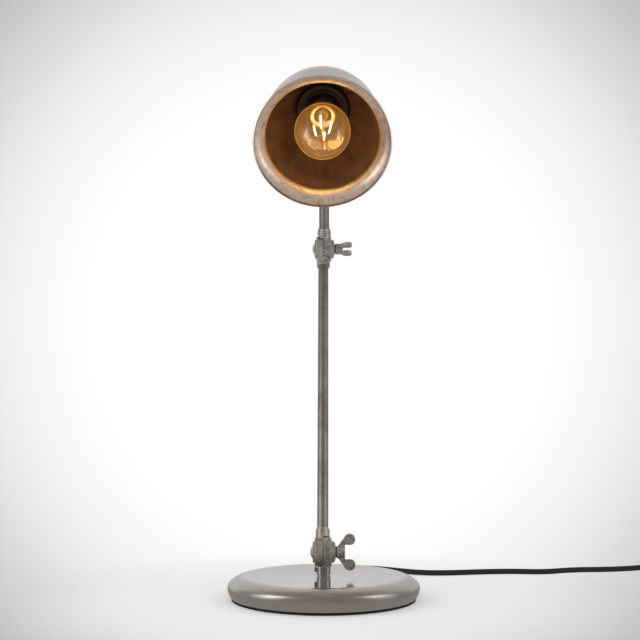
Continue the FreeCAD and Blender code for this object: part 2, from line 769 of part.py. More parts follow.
HOLDER_FLOOR = "(%s + holder_floor)" % SHADE_FLOOR
HOLDER_BORE = "(lamp_cap_radius + holder_play)"
HOLDER_RADIUS = "(%s + holder_wall)" % HOLDER_BORE
RING_RADIUS = "(%s + ring_flange)" % HOLDER_RADIUS
CONTACT_Z = "(%s + contact_height)" % HOLDER_FLOOR
CAP_TOP = "(%s + lamp_cap_length)" % CONTACT_Z
GLOBE_Z = "(%s + bulb_length - bulb_radius)" % CONTACT_Z


def make_lampholder():
    """The moulded holder, its ribbed ring and the brass centre contact."""
    hole = "nipple_radius + press_fit"
    mouth = "(%s + holder_length)" % SHADE_FLOOR
    body = turned("lampholder_body", [
        (hole, SHADE_FLOOR), (HOLDER_RADIUS, SHADE_FLOOR), (HOLDER_RADIUS, mouth + " - holder_bevel"),
        (HOLDER_RADIUS + " - holder_bevel", mouth), (HOLDER_BORE, mouth),
        (HOLDER_BORE, HOLDER_FLOOR), (hole, HOLDER_FLOOR)])
    place(body, HEAD, ON_AXIS)

    back = "(%s + ring_lift)" % SHADE_FLOOR
    face, valley = back + " + ring_depth", back + " + ring_depth - rib_depth"
    inner = HOLDER_RADIUS + " + running_fit"
    ribs = [(inner, back), (RING_RADIUS + " - ring_bevel", back),
            (RING_RADIUS, back + " + ring_bevel"), (RING_RADIUS, face + " - rib_edge")]
    for number in range(2):
        crest = "%s - rib_edge - %d * rib_pitch" % (RING_RADIUS, number)
        ribs += [(crest, face), (crest + " - rib_width", face),
                 (crest + " - rib_width - rib_slope", valley),
                 (crest + " - rib_pitch + rib_slope", valley)]
    ribs += [(inner, valley)]
    place(turned("lampholder_ring", ribs), HEAD, ON_AXIS)

    tongue = turned("lampholder_contact", [
        ("0", HOLDER_FLOOR), ("contact_radius", HOLDER_FLOOR),
        ("contact_radius", HOLDER_FLOOR + " + contact_thick"),
        ("contact_radius / 2", CONTACT_Z), ("0", CONTACT_Z)])
    place(tongue, HEAD, ON_AXIS)


def make_bulb():
    """The globe bulb: a screw cap, a hollow glass, the glass mount inside it and four
    filament sticks held by their lead wires."""
    seat = "(%s - lamp_cap_grip)" % CAP_TOP
    step = "lamp_cap_foot * 0.4"
    cap = turned("bulb_cap", [
        ("0", CONTACT_Z), ("contact_radius", CONTACT_Z),
        ("contact_radius + " + step, "%s + %s" % (CONTACT_Z, step)),
        ("lamp_cap_radius", CONTACT_Z + " + lamp_cap_foot"), ("lamp_cap_radius", CAP_TOP),
        ("glass_neck + press_fit", CAP_TOP), ("glass_neck + press_fit", seat), ("0", seat)])
    place(cap, HEAD, ON_AXIS)

    def skin(inset):
        """One face of the glass, from the seat over the throat to the pole."""
        radius = "(bulb_radius - %s)" % inset
        return [("glass_neck - %s" % inset, seat), ("glass_neck - %s" % inset, CAP_TOP),
                ("%s * cos(globe_angle)" % radius, "%s - %s * sin(globe_angle)" % (GLOBE_Z, radius)),
                (radius, GLOBE_Z), ("0", "%s + %s" % (GLOBE_Z, radius))]

    throat = "(1.5 * bulb_radius)"
    arcs = {1: (throat, -1), 2: ("bulb_radius", 1), 3: ("bulb_radius", 1),
            5: ("bulb_radius - glass_wall", -1), 6: ("bulb_radius - glass_wall", -1),
            7: (throat + " + glass_wall", 1)}
    place(turned("bulb_glass", skin("0") + skin("glass_wall")[::-1], arcs), HEAD, ON_AXIS)

    foot = "(glass_neck - 2 * glass_wall)"
    mount_top = "%s + mount_length" % seat
    mount = turned("bulb_mount", [
        ("0", seat), (foot, seat), (foot, seat + " + mount_foot"),
        ("mount_radius", seat + " + mount_flare"),
        ("mount_radius", mount_top), ("0", mount_top)])
    place(mount, HEAD, ON_AXIS)
    make_filaments(seat)


def rod(name, radius, length, home):
    """A round rod along Z of its own frame."""
    item = document.addObject("Part::Cylinder", name)
    item.setExpression("Radius", bound(radius))
    item.setExpression("Height", bound(length))
    place(item, *home)
    return item


def make_filaments(seat):
    """Four filament sticks round the mount, closer together at their front ends, with a
    lead wire to each end."""
    back_z = "(%s + filament_start)" % seat
    lean = "atan((filament_back - filament_front) / filament_span)"
    stick = "sqrt((filament_back - filament_front) ^ 2 + filament_span ^ 2)"
    tip_z = "(%s + filament_span)" % back_z
    pieces = [rod("bulb_spine", "lead_radius",
                  "filament_start + filament_span - mount_length + mount_radius",
                  [frame(0, 0, seat + " + mount_length - mount_radius")])]
    for number in range(4):
        turn = frame(0, 0, 0, "0; 0; 1", "%d * 90 + filament_turn" % number)
        pieces.append(rod("bulb_stick", "filament_radius", stick,
                          [turn, frame("filament_back", 0, back_z, "0; 1; 0", "-" + lean)]))
        pieces.append(rod("bulb_lead", "lead_radius", "filament_back - mount_radius / 2",
                          [turn, frame("mount_radius / 2", 0, back_z + " + lead_radius",
                                       "0; 1; 0", "90")]))
        pieces.append(rod("bulb_hook", "lead_radius", "filament_front",
                          [turn, frame(0, 0, tip_z + " - lead_radius", "0; 1; 0", "90")]))
    cage = document.addObject("Part::MultiFuse", "bulb_filaments")
    cage.Label = "bulb_filaments"
    cage.Shapes = pieces
    made.append(cage)
    place(cage, HEAD, ON_AXIS)


# ---------------------------------------------------------------- mains lead


def lead_tube(label, points):
    """A round lead along straight runs that are joined by the largest tangent arcs."""
    rim, section = value("base_radius"), value("cord_radius")
    corners = [Vector(x, rim + behind, section + lift) for x, behind, lift in points]
    edges, start = [], corners[0]
    for before, corner, after in zip(corners, corners[1:], corners[2:]):
        back, on = (before - corner).normalize(), (after - corner).normalize()
        share = 0.45 * min((before - corner).Length, (after - corner).Length)
        turn = math.pi - back.getAngle(on)
        radius = share / math.tan(turn / 2)
        print("%s: arc of radius %.1f" % (label, radius))
        first, last = corner + back * share, corner + on * share
        inward = (back + on).normalize()
        centre = corner + inward * math.hypot(share, radius)
        edges.append(Part.LineSegment(start, first).toShape())
        edges.append(Part.Arc(first, centre - inward * radius, last).toShape())
        start = last
    edges.append(Part.LineSegment(start, corners[-1]).toShape())
    path = Part.Wire(edges)
    ring = Part.Circle(corners[0], corners[1] - corners[0], section).toShape()
    solid = path.makePipeShell([Part.Wire(ring)], True, False)
    expected = math.pi * section ** 2 * path.Length
    print("%s: %.1f mm long, volume ratio %.4f" % (label, path.Length, solid.Volume / expected))
    item = document.addObject("Part::Feature", label)
    item.Label = label
    item.Shape = solid
    item.Placement = Placement()
    made.append(item)


def make_lead():
    """The strain relief, the lead in three stretches and the coil of its spare length."""
    flange = RELIEF_RADIUS + " + relief_flange"
    profile = [("0", "-relief_root"), (RELIEF_TIP, "-relief_root"), (RELIEF_TIP, "0"),
               (flange, "0"), (flange, "2"), (RELIEF_RADIUS, "2")]
    rings = 6
    for number in range(rings):
        crest = "%s - relief_swell * %d / %d + 0.3" % (RELIEF_RADIUS, number + 1, rings)
        z = "4 + (relief_length - 8) * %d / %d" % (number, rings)
        profile += [(crest, z + " + 1.6"), (crest + " - relief_groove", z + " + 2"),
                    (crest + " - relief_groove", z + " + 3")]
    profile += [(RELIEF_TIP, "relief_length - 3"), (RELIEF_TIP, "relief_length"),
                ("0", "relief_length")]
    relief = turned("cord_strain_relief", profile)
    place(relief, BASE, frame(0, "base_radius - %s / 3" % RELIEF_TIP, "exit_height",
                              angle="-90 - exit_droop"))

    lead_tube("mains_lead", LEAD_ROUTE)
    lead_tube("lead_to_coil", COIL_ROUTE)
    lead_tube("lead_to_plug", PLUG_ROUTE)
    edge, top = "cord_radius", "(2 * coil_layers * cord_radius)"
    inside, outside = "coil_radius - coil_rows * cord_radius", "coil_radius + coil_rows * cord_radius"
    coil = turned("lead_coil", [
        (inside + " + " + edge, "0"), (outside + " - " + edge, "0"), (outside, edge),
        (outside, top + " - " + edge), (outside + " - " + edge, top),
        (inside + " + " + edge, top), (inside, top + " - " + edge), (inside, edge)],
        {1: (edge, 1), 3: (edge, 1), 5: (edge, 1), 7: (edge, 1)})
    place(coil, on_table(COIL_PLACE))


def on_table(spot):
    """The frame of a thing on the lead: x, the distance behind the rim, and the turn."""
    x, behind, turn = spot
    return frame(x, "base_radius + %s" % behind, 0, "0; 0; 1", turn)


def switch_outline(sketch):
    """The switch's plan: a long hexagon that narrows towards the lead at both ends."""
    half, side = "switch_length / 2", "switch_width / 2"
    shoulder, tip = "(switch_length / 2 - switch_taper)", "(cord_radius + switch_neck)"
    return outline(sketch, [
        ("-" + half, "-" + tip), ("-" + shoulder, "-" + side), (shoulder, "-" + side),
        (half, "-" + tip), (half, tip), (shoulder, side), ("-" + shoulder, side),
        ("-" + half, tip)])


def make_switch():
    """The in-line switch: two halves round the lead and a rocker on its own pivot."""
    home = on_table(SWITCH_PLACE)
    base = new_body("switch_base")
    extrude(base, "Pad", switch_outline(new_sketch(base, "XY_Plane")), "switch_split")
    dress(base, "Fillet", "switch_corner", upright)
    dress(base, "Chamfer", "switch_bevel", level_at("0"))
    place(base, home)

    cover = new_body("switch_cover")
    sketch = switch_outline(new_sketch(cover, "XY_Plane", "switch_split"))
    extrude(cover, "Pad", sketch, "switch_height - switch_split")
    dress(cover, "Fillet", "switch_corner", upright)
    dress(cover, "Fillet", "switch_edge", level_at("switch_height"))
    window = outline(new_sketch(cover, "XY_Plane"), box_corners(
        "-window_length / 2", "window_length / 2", "-window_width / 2", "window_width / 2"))
    cut_down(cover, window, "switch_height + clearance", backwards=True)
    pivot = circle(new_sketch(cover, "XZ_Plane"), "0", "pivot_height",
                   "pivot_radius + running_fit")
    cut_down(cover, pivot, "window_width + 2 * pivot_overlap", midplane=True)
    place(cover, home)

    rocker = new_body("switch_rocker")
    half = "(window_length / 2 - rocker_end_gap)"
    plate = outline(new_sketch(rocker, "XZ_Plane"), [
        ("-%s + rocker_nose" % half, "-rocker_height / 3"),
        ("%s - rocker_nose" % half, "-rocker_height / 3"),
        (half, "0"), (half, "rocker_height * 0.72"), ("0", "rocker_height * 0.5"),
        ("-" + half, "rocker_height * 0.72"), ("-" + half, "0")])
    extrude(rocker, "Pad", plate, "window_width - 2 * rocker_side_gap", midplane=True)
    pins = circle(new_sketch(rocker, "XZ_Plane"), "0", "0", "pivot_radius")
    extrude(rocker, "Pad", pins, "window_width + 1.5 * pivot_overlap", midplane=True)
    place(rocker, home, frame(0, 0, "pivot_height", "0; 1; 0", "rocker_tilt"))


def plug_outline(sketch):
    """The plug's plan: square at the earth pin, with rounded corners, and narrowing
    towards the lead."""
    side, corner = "plug_width / 2", "plug_corner"
    return outline(sketch, [
        (side, "0"), (side, "plug_length - " + corner), ("%s - %s" % (side, corner), "plug_length"),
        ("-%s + %s" % (side, corner), "plug_length"), ("-" + side, "plug_length - " + corner),
        ("-" + side, "0"), ("-plug_width / 5", "-" + corner), ("plug_width / 5", "-" + corner)],
        {1: (corner, 1), 3: (corner, 1)})


def make_plug():
    """The three-pin plug, lying on its back: cover, pin side with its boot, and pins."""
    home = on_table(PLUG_PLACE)
    cover = new_body("plug_cover")
    extrude(cover, "Pad", plug_outline(new_sketch(cover, "XY_Plane")), "plug_split")
    dress(cover, "Chamfer", "plug_bevel", level_at("0"))
    place(cover, home)

    body = new_body("plug_body")
    sketch = plug_outline(new_sketch(body, "XY_Plane", "plug_split"))
    extrude(body, "Pad", sketch, "plug_thick - plug_split")
    dress(body, "Fillet", "plug_edge", level_at("plug_thick"))
    boot = circle(new_sketch(body, "XZ_Plane", "plug_corner"), "0", "plug_entry", "boot_radius")
    extrude(body, "Pad", boot, "boot_length")
    place(body, home)

    line_y = "plug_length - earth_pin_inset - earth_pin_forward"
    pins = [box("-line_pin_spread / 2", line_y, "line_pin_width", "pin_thick", "line_pin_length"),
            box("line_pin_spread / 2", line_y, "line_pin_width", "pin_thick", "line_pin_length"),
            box("0", "plug_length - earth_pin_inset", "pin_thick", "earth_pin_width",
                "earth_pin_length")]
    group = document.addObject("Part::MultiFuse", "plug_pins")
    group.Label = "plug_pins"
    group.Shapes = pins
    made.append(group)
    place(group, home)


def box(x, y, length, width, height):
    """A pin that stands on the plug's face, centred on x and y."""
    item = document.addObject("Part::Box", "plug_pin")
    item.setExpression("Length", bound(length))
    item.setExpression("Width", bound(width))
    item.setExpression("Height", bound(height))
    place(item, frame("%s - %s / 2" % (x, length), "%s - %s / 2" % (y, width), "plug_thick"))
    return item


def finish():
    """Checks every object and every sub-part, and writes one file for each sub-part."""
    document.recompute()
    for item in document.Objects:
        if any(word in item.State for word in ("Invalid", "Error")):
            raise RuntimeError("%s failed: %s" % (item.Label, item.State))
    for item in made:
        if item.Shape.isNull() or not item.Shape.isValid():
            raise RuntimeError("%s has no valid shape" % item.Label)
    os.makedirs(OUTPUT, exist_ok=True)
    for item in made:
        item.Shape.exportStep(os.path.join(OUTPUT, item.Label + ".step"))
    print("%d sub-parts written" % len(made))


fill_sheet()
make_base()
make_post()
make_knuckles()
make_tubes()
make_bolts()
make_wing_nuts()
make_shade()
make_neck()
make_lampholder()
make_bulb()
make_lead()
make_switch()
make_plug()
finish()
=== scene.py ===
"""The looks of a tabletop searchlight lamp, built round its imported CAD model.

Lengths are in millimetres until a mesh is written, which is in metres. +Z is up, the
shade faces -Y and every knuckle turns about an axis along X.
"""

import json
import logging
import math
from dataclasses import dataclass
from enum import Enum
from typing import Any, ClassVar, Mapping, Sequence

import bmesh
import bpy
import numpy as np
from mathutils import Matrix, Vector


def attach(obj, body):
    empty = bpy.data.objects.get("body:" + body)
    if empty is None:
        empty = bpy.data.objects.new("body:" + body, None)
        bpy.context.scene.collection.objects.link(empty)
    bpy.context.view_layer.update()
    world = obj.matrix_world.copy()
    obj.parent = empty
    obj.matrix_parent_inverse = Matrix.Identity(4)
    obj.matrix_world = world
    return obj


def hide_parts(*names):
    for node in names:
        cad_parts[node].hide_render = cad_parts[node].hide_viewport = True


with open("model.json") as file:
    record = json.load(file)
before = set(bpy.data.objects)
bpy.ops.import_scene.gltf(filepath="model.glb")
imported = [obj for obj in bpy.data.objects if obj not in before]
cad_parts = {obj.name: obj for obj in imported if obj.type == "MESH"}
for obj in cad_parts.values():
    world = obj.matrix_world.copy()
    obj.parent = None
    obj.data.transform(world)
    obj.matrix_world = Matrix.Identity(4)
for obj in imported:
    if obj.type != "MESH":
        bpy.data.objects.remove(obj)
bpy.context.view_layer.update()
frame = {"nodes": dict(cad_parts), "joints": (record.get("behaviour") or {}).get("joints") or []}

MM = 0.001
Colour = tuple[float, float, float]
Point = tuple[float, float, float]
Array = np.ndarray
BLACK = (0.0, 0.0, 0.0)
log = logging.getLogger("lamp")


# ---------------------------------------------------------------- names


class Slot(Enum):
    """The record's material slots."""

    POLISHED = "polished_silver"
    ANTIQUE = "antique_silver"
    CAST = "cast_silver"
    SHADE = "shade_silver"
    STEEL = "plain_steel"
    DARK_WASHER = "dark_washer"
    WEIGHT = "cast_weight"
    FELT = "felt_pad"
    MOULDING = "black_moulding"
    PLASTIC = "black_plastic"
    ROCKER = "rocker_plastic"
    RUBBER = "black_rubber"
    BRASS = "brass_contact"
    LAMP_CAP = "lamp_cap"
    AMBER = "amber_glass"
    CLEAR = "clear_glass"
    GLOW = "glowing_filament"


class Space(Enum):
    """Where a pattern is laid out."""

    OBJECT = "Object"
    UV = "UV"


# ---------------------------------------------------------------- shader graph


class Signal:
    """An output of a node. Arithmetic on one that is a number adds Math nodes."""

    def __init__(self, graph: "Graph", socket: bpy.types.NodeSocket) -> None:
        """Holds the socket and the graph that it is in."""
        self.graph = graph
        self.socket = socket

    def _math(self, operation: str, *values: "Signal | float") -> "Signal":
        """The result of one Math node."""
        return self.graph.add("ShaderNodeMath", {"operation": operation}, dict(enumerate(values)))

    def __add__(self, other: "Signal | float") -> "Signal":
        """The sum."""
        return self._math("ADD", self, other)

    __radd__ = __add__

    def __mul__(self, other: "Signal | float") -> "Signal":
        """The product."""
        return self._math("MULTIPLY", self, other)

    __rmul__ = __mul__

    def __sub__(self, other: "Signal | float") -> "Signal":
        """The difference."""
        return self._math("SUBTRACT", self, other)

    def __rsub__(self, other: float) -> "Signal":
        """A number less this one."""
        return self._math("SUBTRACT", other, self)

    def __truediv__(self, other: "Signal | float") -> "Signal":
        """The quotient."""
        return self._math("DIVIDE", self, other)

    def __rtruediv__(self, other: float) -> "Signal":
        """A number divided by this one."""
        return self._math("DIVIDE", other, self)

    def root(self) -> "Signal":
        """The square root."""
        return self._math("SQRT", self)

    def at_least(self, other: "Signal | float") -> "Signal":
        """The larger of the two."""
        return self._math("MAXIMUM", self, other)

    def hypot(self, other: "Signal") -> "Signal":
        """The length of the vector that has these two sides."""
        return (self * self + other * other).root()

    def bearing(self, other: "Signal") -> "Signal":
        """The angle whose tangent is this over the other, in radians."""
        return self._math("ARCTAN2", self, other)

    def smooth(self, low: float, high: float, start: float = 0, end: float = 1) -> "Signal":
        """Runs smoothly from start to end as this number goes from low to high.

        Args:
            low: where the change begins.
            high: where it ends.
            start: the result up to low.
            end: the result from high on.

        Returns:
            The eased number.
        """
        return self.graph.add(
            "ShaderNodeMapRange", {"interpolation_type": "SMOOTHSTEP"},
            {0: self, 1: low, 2: high, 3: start, 4: end})

    def within(self, start: float, rise: float, fall: float, end: float) -> "Signal":
        """1 from rise to fall, easing to 0 at start and at end."""
        return self.smooth(start, rise) * self.smooth(fall, end, 1, 0)


class Graph:
    """The node tree of one material or of the world."""

    def __init__(self, tree: bpy.types.NodeTree) -> None:
        """Empties the tree."""
        self.tree = tree
        tree.nodes.clear()

    def add(self, kind: str, settings: Mapping[str, Any] | None = None,
            sockets: Mapping[int | str, Any] | None = None, outlet: int | str = 0) -> Signal:
        """Adds a node.

        Args:
            kind: the node's type.
            settings: its properties, set first; "stops" gives a ramp's stops.
            sockets: the value or link of each of its inputs, by name or number.
            outlet: the output that is wanted.

        Returns:
            That output.
        """
        node = self.tree.nodes.new(kind)
        for name, setting in (settings or {}).items():
            if name == "stops":
                self._set_stops(node.color_ramp.elements, setting)
            else:
                setattr(node, name, setting)
        for key, given in (sockets or {}).items():
            if isinstance(given, Signal):
                self.tree.links.new(given.socket, node.inputs[key])
            else:
                node.inputs[key].default_value = given
        return Signal(self, node.outputs[outlet] if node.outputs else None)

    @staticmethod
    def _set_stops(elements: Any, stops: Sequence[tuple[float, Colour]]) -> None:
        """Gives a ramp its stops."""
        while len(elements) < len(stops):
            elements.new(1.0)
        for element, (position, colour) in zip(elements, stops):
            element.position = position
            element.color = (*colour, 1)

    def mix(self, factor: Signal | float, first: Any, second: Any) -> Signal:
        """Mixes two colours, each given as a colour or a link; the factor is the second's share."""
        pair = [given if isinstance(given, Signal) else (*given, 1) for given in (first, second)]
        return self.add("ShaderNodeMix", {"data_type": "RGBA"}, {0: factor, 6: pair[0], 7: pair[1]}, 2)

    def place(self, space: Space = Space.OBJECT, scale: Point = (1, 1, 1),
              turn: Point = (0, 0, 0)) -> Signal:
        """The coordinates of a pattern.

        Args:
            space: what they are read from.
            scale: how many units of the pattern go to a unit of them.
            turn: angles in radians about X, Y and Z.

        Returns:
            The coordinates.
        """
        source = self.add("ShaderNodeTexCoord", {}, {}, space.value)
        return self.add("ShaderNodeMapping", {}, {"Vector": source, "Rotation": turn, "Scale": scale})

    def split(self, vector: Signal) -> tuple[Signal, Signal, Signal]:
        """The three parts of a vector."""
        node = self.add("ShaderNodeSeparateXYZ", {}, {0: vector}).socket.node
        return tuple(Signal(self, socket) for socket in node.outputs)

    def join(self, x: Signal | float, y: Signal | float, z: Signal | float) -> Signal:
        """The vector that has these three parts."""
        return self.add("ShaderNodeCombineXYZ", {}, {0: x, 1: y, 2: z})

    def measure(self, name: str) -> Signal:
        """A number that the mesh carries; 0 where it has none of that name."""
        return self.add("ShaderNodeAttribute", {"attribute_name": name}, {}, "Fac")

    def is_ray(self, kind: str) -> Signal:
        """1 for a ray of that kind, such as Camera, and 0 for any other."""
        return self.add("ShaderNodeLightPath", {}, {}, "Is %s Ray" % kind)

    def noise(self, scale: float, detail: float = 3, rough: float = 0.55,
              vector: Signal | None = None) -> Signal:
        """Soft random values about 0.5, laid out by the object unless a vector is given."""
        return self.add("ShaderNodeTexNoise", {}, {
            "Vector": vector or self.place(), "Scale": scale, "Detail": detail, "Roughness": rough})

    def scratches(self, vector: Signal, scale: float, width: float) -> Signal:
        """Thin lines between the cells of a Voronoi pattern: 1 on a line, 0 off it."""
        edge = self.add("ShaderNodeTexVoronoi", {"feature": "DISTANCE_TO_EDGE"},
                        {"Vector": vector, "Scale": scale})
        return edge.smooth(0, width, 1, 0)

    def bump(self, height: Signal, depth: float) -> Signal:
        """The normal that a height gives, the depth being in millimetres."""
        return self.add("ShaderNodeBump", {}, {"Height": height, "Distance": depth * MM, "Strength": 1})

    def worn_edges(self, radius: float) -> Signal:
        """How near a point is to a sharp edge: 0 on a face, up to 1 on the edge.

        The normal of the rounded edge is compared with the true one: where they point
        the same way their product is 1, and at an edge it is less.

        Args:
            radius: how far from an edge the wear reaches, in millimetres.

        Returns:
            The share of wear.
        """
        rounded = self.add("ShaderNodeBevel", {"samples": 4}, {"Radius": radius * MM})
        true = self.add("ShaderNodeNewGeometry", {}, {}, "Normal")
        both = self.add("ShaderNodeVectorMath", {"operation": "DOT_PRODUCT"},
                        {0: rounded, 1: true}, "Value")
        return (1 - both).smooth(0.01, 0.16)

    def surface(self, colour: Any, rough: Signal | float, normal: Signal,
                metal: Signal | float = 0.0, more: Mapping[str, Any] | None = None) -> Signal:
        """A Principled shader.

        Args:
            colour: its base colour.
            rough: its roughness.
            normal: its normal.
            metal: how far it is a metal.
            more: its other inputs, by name.

        Returns:
            The shader.
        """
        return self.add("ShaderNodeBsdfPrincipled", {}, {
            "Base Color": colour, "Metallic": metal, "Roughness": rough, "Normal": normal,
            **(more or {})})


# ---------------------------------------------------------------- finishes


def toned(colour: Colour, factor: float) -> Colour:
    """A colour made lighter or darker by a factor."""
    return tuple(min(1.0, factor * part) for part in colour)


@dataclass(frozen=True)
class Finish:
    """A finish is a material that is made once and then shared."""

    name: str
    made: ClassVar[dict[str, bpy.types.Material]] = {}

    def make(self) -> bpy.types.Material:
        """The material, made the first time that it is asked for."""
        if self.name not in Finish.made:
            material = bpy.data.materials.new(self.name)
            material.use_nodes = True
            graph = Graph(material.node_tree)
            graph.add("ShaderNodeOutputMaterial", {}, {"Surface": self.shader(graph)})
            Finish.made[self.name] = material
        return Finish.made[self.name]

    def shader(self, graph: Graph) -> Signal:
        """The shader that each kind of finish builds."""
        raise NotImplementedError


@dataclass(frozen=True)
class SpunMetal(Finish):
    """Plated metal that was spun and polished, with fine rings round its own axis.

    The rings are noise read by height and radius, so they run round the axis. Large
    soft clouds of tarnish darken the colour and dull the gloss. The rounded side, from
    rim_start outwards (in metres), is brushed to a satin. The face inside it leans to
    the middle like a cone that is dish millimetres deep.
    """

    bright: Colour
    tarnish: Colour
    gloss: float
    rim_start: float = 0.080
    rim_end: float = 0.090
    satin: float = 0.24
    dish: float = 3.0
    ring_scale: float = 900
    ring_depth: float = 0.004
    ring_twist: float = 0.002
    cloud_scale: float = 14
    speck_scale: float = 308
    hair_scale: float = 130
    smudge: float = 0.05

    def shader(self, graph: Graph) -> Signal:
        """Builds the shader.

        Args:
            graph: the material's node tree.

        Returns:
            The shader.
        """
        x, y, z = graph.split(graph.place())
        radius = x.hypot(y)
        round_axis = graph.join(radius, z, x.bearing(y) * self.ring_twist)
        rings = graph.noise(self.ring_scale, 2, vector=round_axis)
        specks = graph.noise(self.speck_scale, 2)
        lengthwise = graph.place(scale=(1, 0.12, 1), turn=(0, 0, 0.7))
        hairs = graph.scratches(lengthwise, self.hair_scale, 0.012)
        dull = graph.noise(self.cloud_scale, 4, 0.6).smooth(0.4, 0.75)
        base = graph.mix(dull * 0.55 + specks * 0.12, self.bright, self.tarnish)
        side = radius.smooth(self.rim_start, self.rim_end)
        rough = self.gloss + dull * self.smudge + rings * 0.03 + hairs * 0.05 + side * self.satin
        slope = self.dish / (self.ring_depth * self.rim_start)
        dish = (self.rim_start - radius).at_least(0) * -slope
        normal = graph.bump(rings + hairs * 0.4 + dish, self.ring_depth)
        return graph.surface(base, rough, normal, 1.0)


@dataclass(frozen=True)
class DrawnMetal(Finish):
    """Plated tube with the fine lengthwise lines of drawing and hand rubbing.

    The lines are noise that is stretched along Y and Z, the plane of both tubes. Their
    colour runs between the plate and the darker patina that was left in them.
    """

    bright: Colour
    patina: Colour
    gloss: float
    line_scale: float = 1500
    line_depth: float = 0.006
    stretch: Point = (1, 0.03, 0.03)
    cloud_scale: float = 26
    fleck_scale: float = 900

    def shader(self, graph: Graph) -> Signal:
        """Builds the shader.

        Args:
            graph: the material's node tree.

        Returns:
            The shader.
        """
        lines = graph.noise(self.line_scale, 3, 0.6, graph.place(scale=self.stretch))
        clouds = graph.noise(self.cloud_scale, 5, 0.62)
        flecks = graph.noise(self.fleck_scale, 2)
        dark = (lines * 0.45 + clouds * 0.75).smooth(0.42, 0.86)
        rough = self.gloss + clouds * 0.16 + flecks * 0.05
        normal = graph.bump(lines + flecks * 0.5, self.line_depth)
        return graph.surface(graph.mix(dark, self.bright, self.patina), rough, normal, 1.0)


@dataclass(frozen=True)
class CastMetal(Finish):
    """Tumbled castings: a faint orange-peel skin, dark patina, and rubbed edges made lighter, partly wear
    and partly a painted highlight.

    A mesh may carry the measure "groove", from 0 to 1, where the colour is darkened nearly to black:
    patina, and painted shade in the grooves.
    """

    bright: Colour
    patina: Colour
    gloss: float
    skin_scale: float = 520
    skin_depth: float = 0.16
    wear: float = 0.95
    metal: float = 1.0
    cloud_scale: float = 95
    edge_reach: float = 0.6
    edge_wear_highlight_gain: float = 1.5
    groove_share: float = 0.5
    groove_patina_and_shade: float = 0.16

    def shader(self, graph: Graph) -> Signal:
        """Builds the shader.

        Args:
            graph: the material's node tree.

        Returns:
            The shader.
        """
        skin = graph.noise(self.skin_scale, 4, 0.65)
        clouds = graph.noise(self.cloud_scale, 4, 0.6)
        # The edges' lighter colour is partly rubbed wear and partly a painted highlight; their lower
        # roughness is the wear.
        edges = graph.worn_edges(self.edge_reach) * (0.5 + clouds)
        dark = clouds.smooth(0.3, 0.72) * 0.45 + skin.smooth(0.38, 0.62) * 0.55
        base = graph.mix(dark, self.bright, self.patina)
        base = graph.mix(edges * self.wear, base, toned(self.bright, self.edge_wear_highlight_gain))
        # Painted shade with patina: the colour darkens deep in the grooves.
        groove = graph.measure("groove") * self.groove_share
        base = graph.mix(groove, base, toned(self.patina, self.groove_patina_and_shade))
        rough = self.gloss + clouds * 0.14 + skin * 0.08 - edges * 0.14
        return graph.surface(base, rough, graph.bump(skin, self.skin_depth), self.metal)


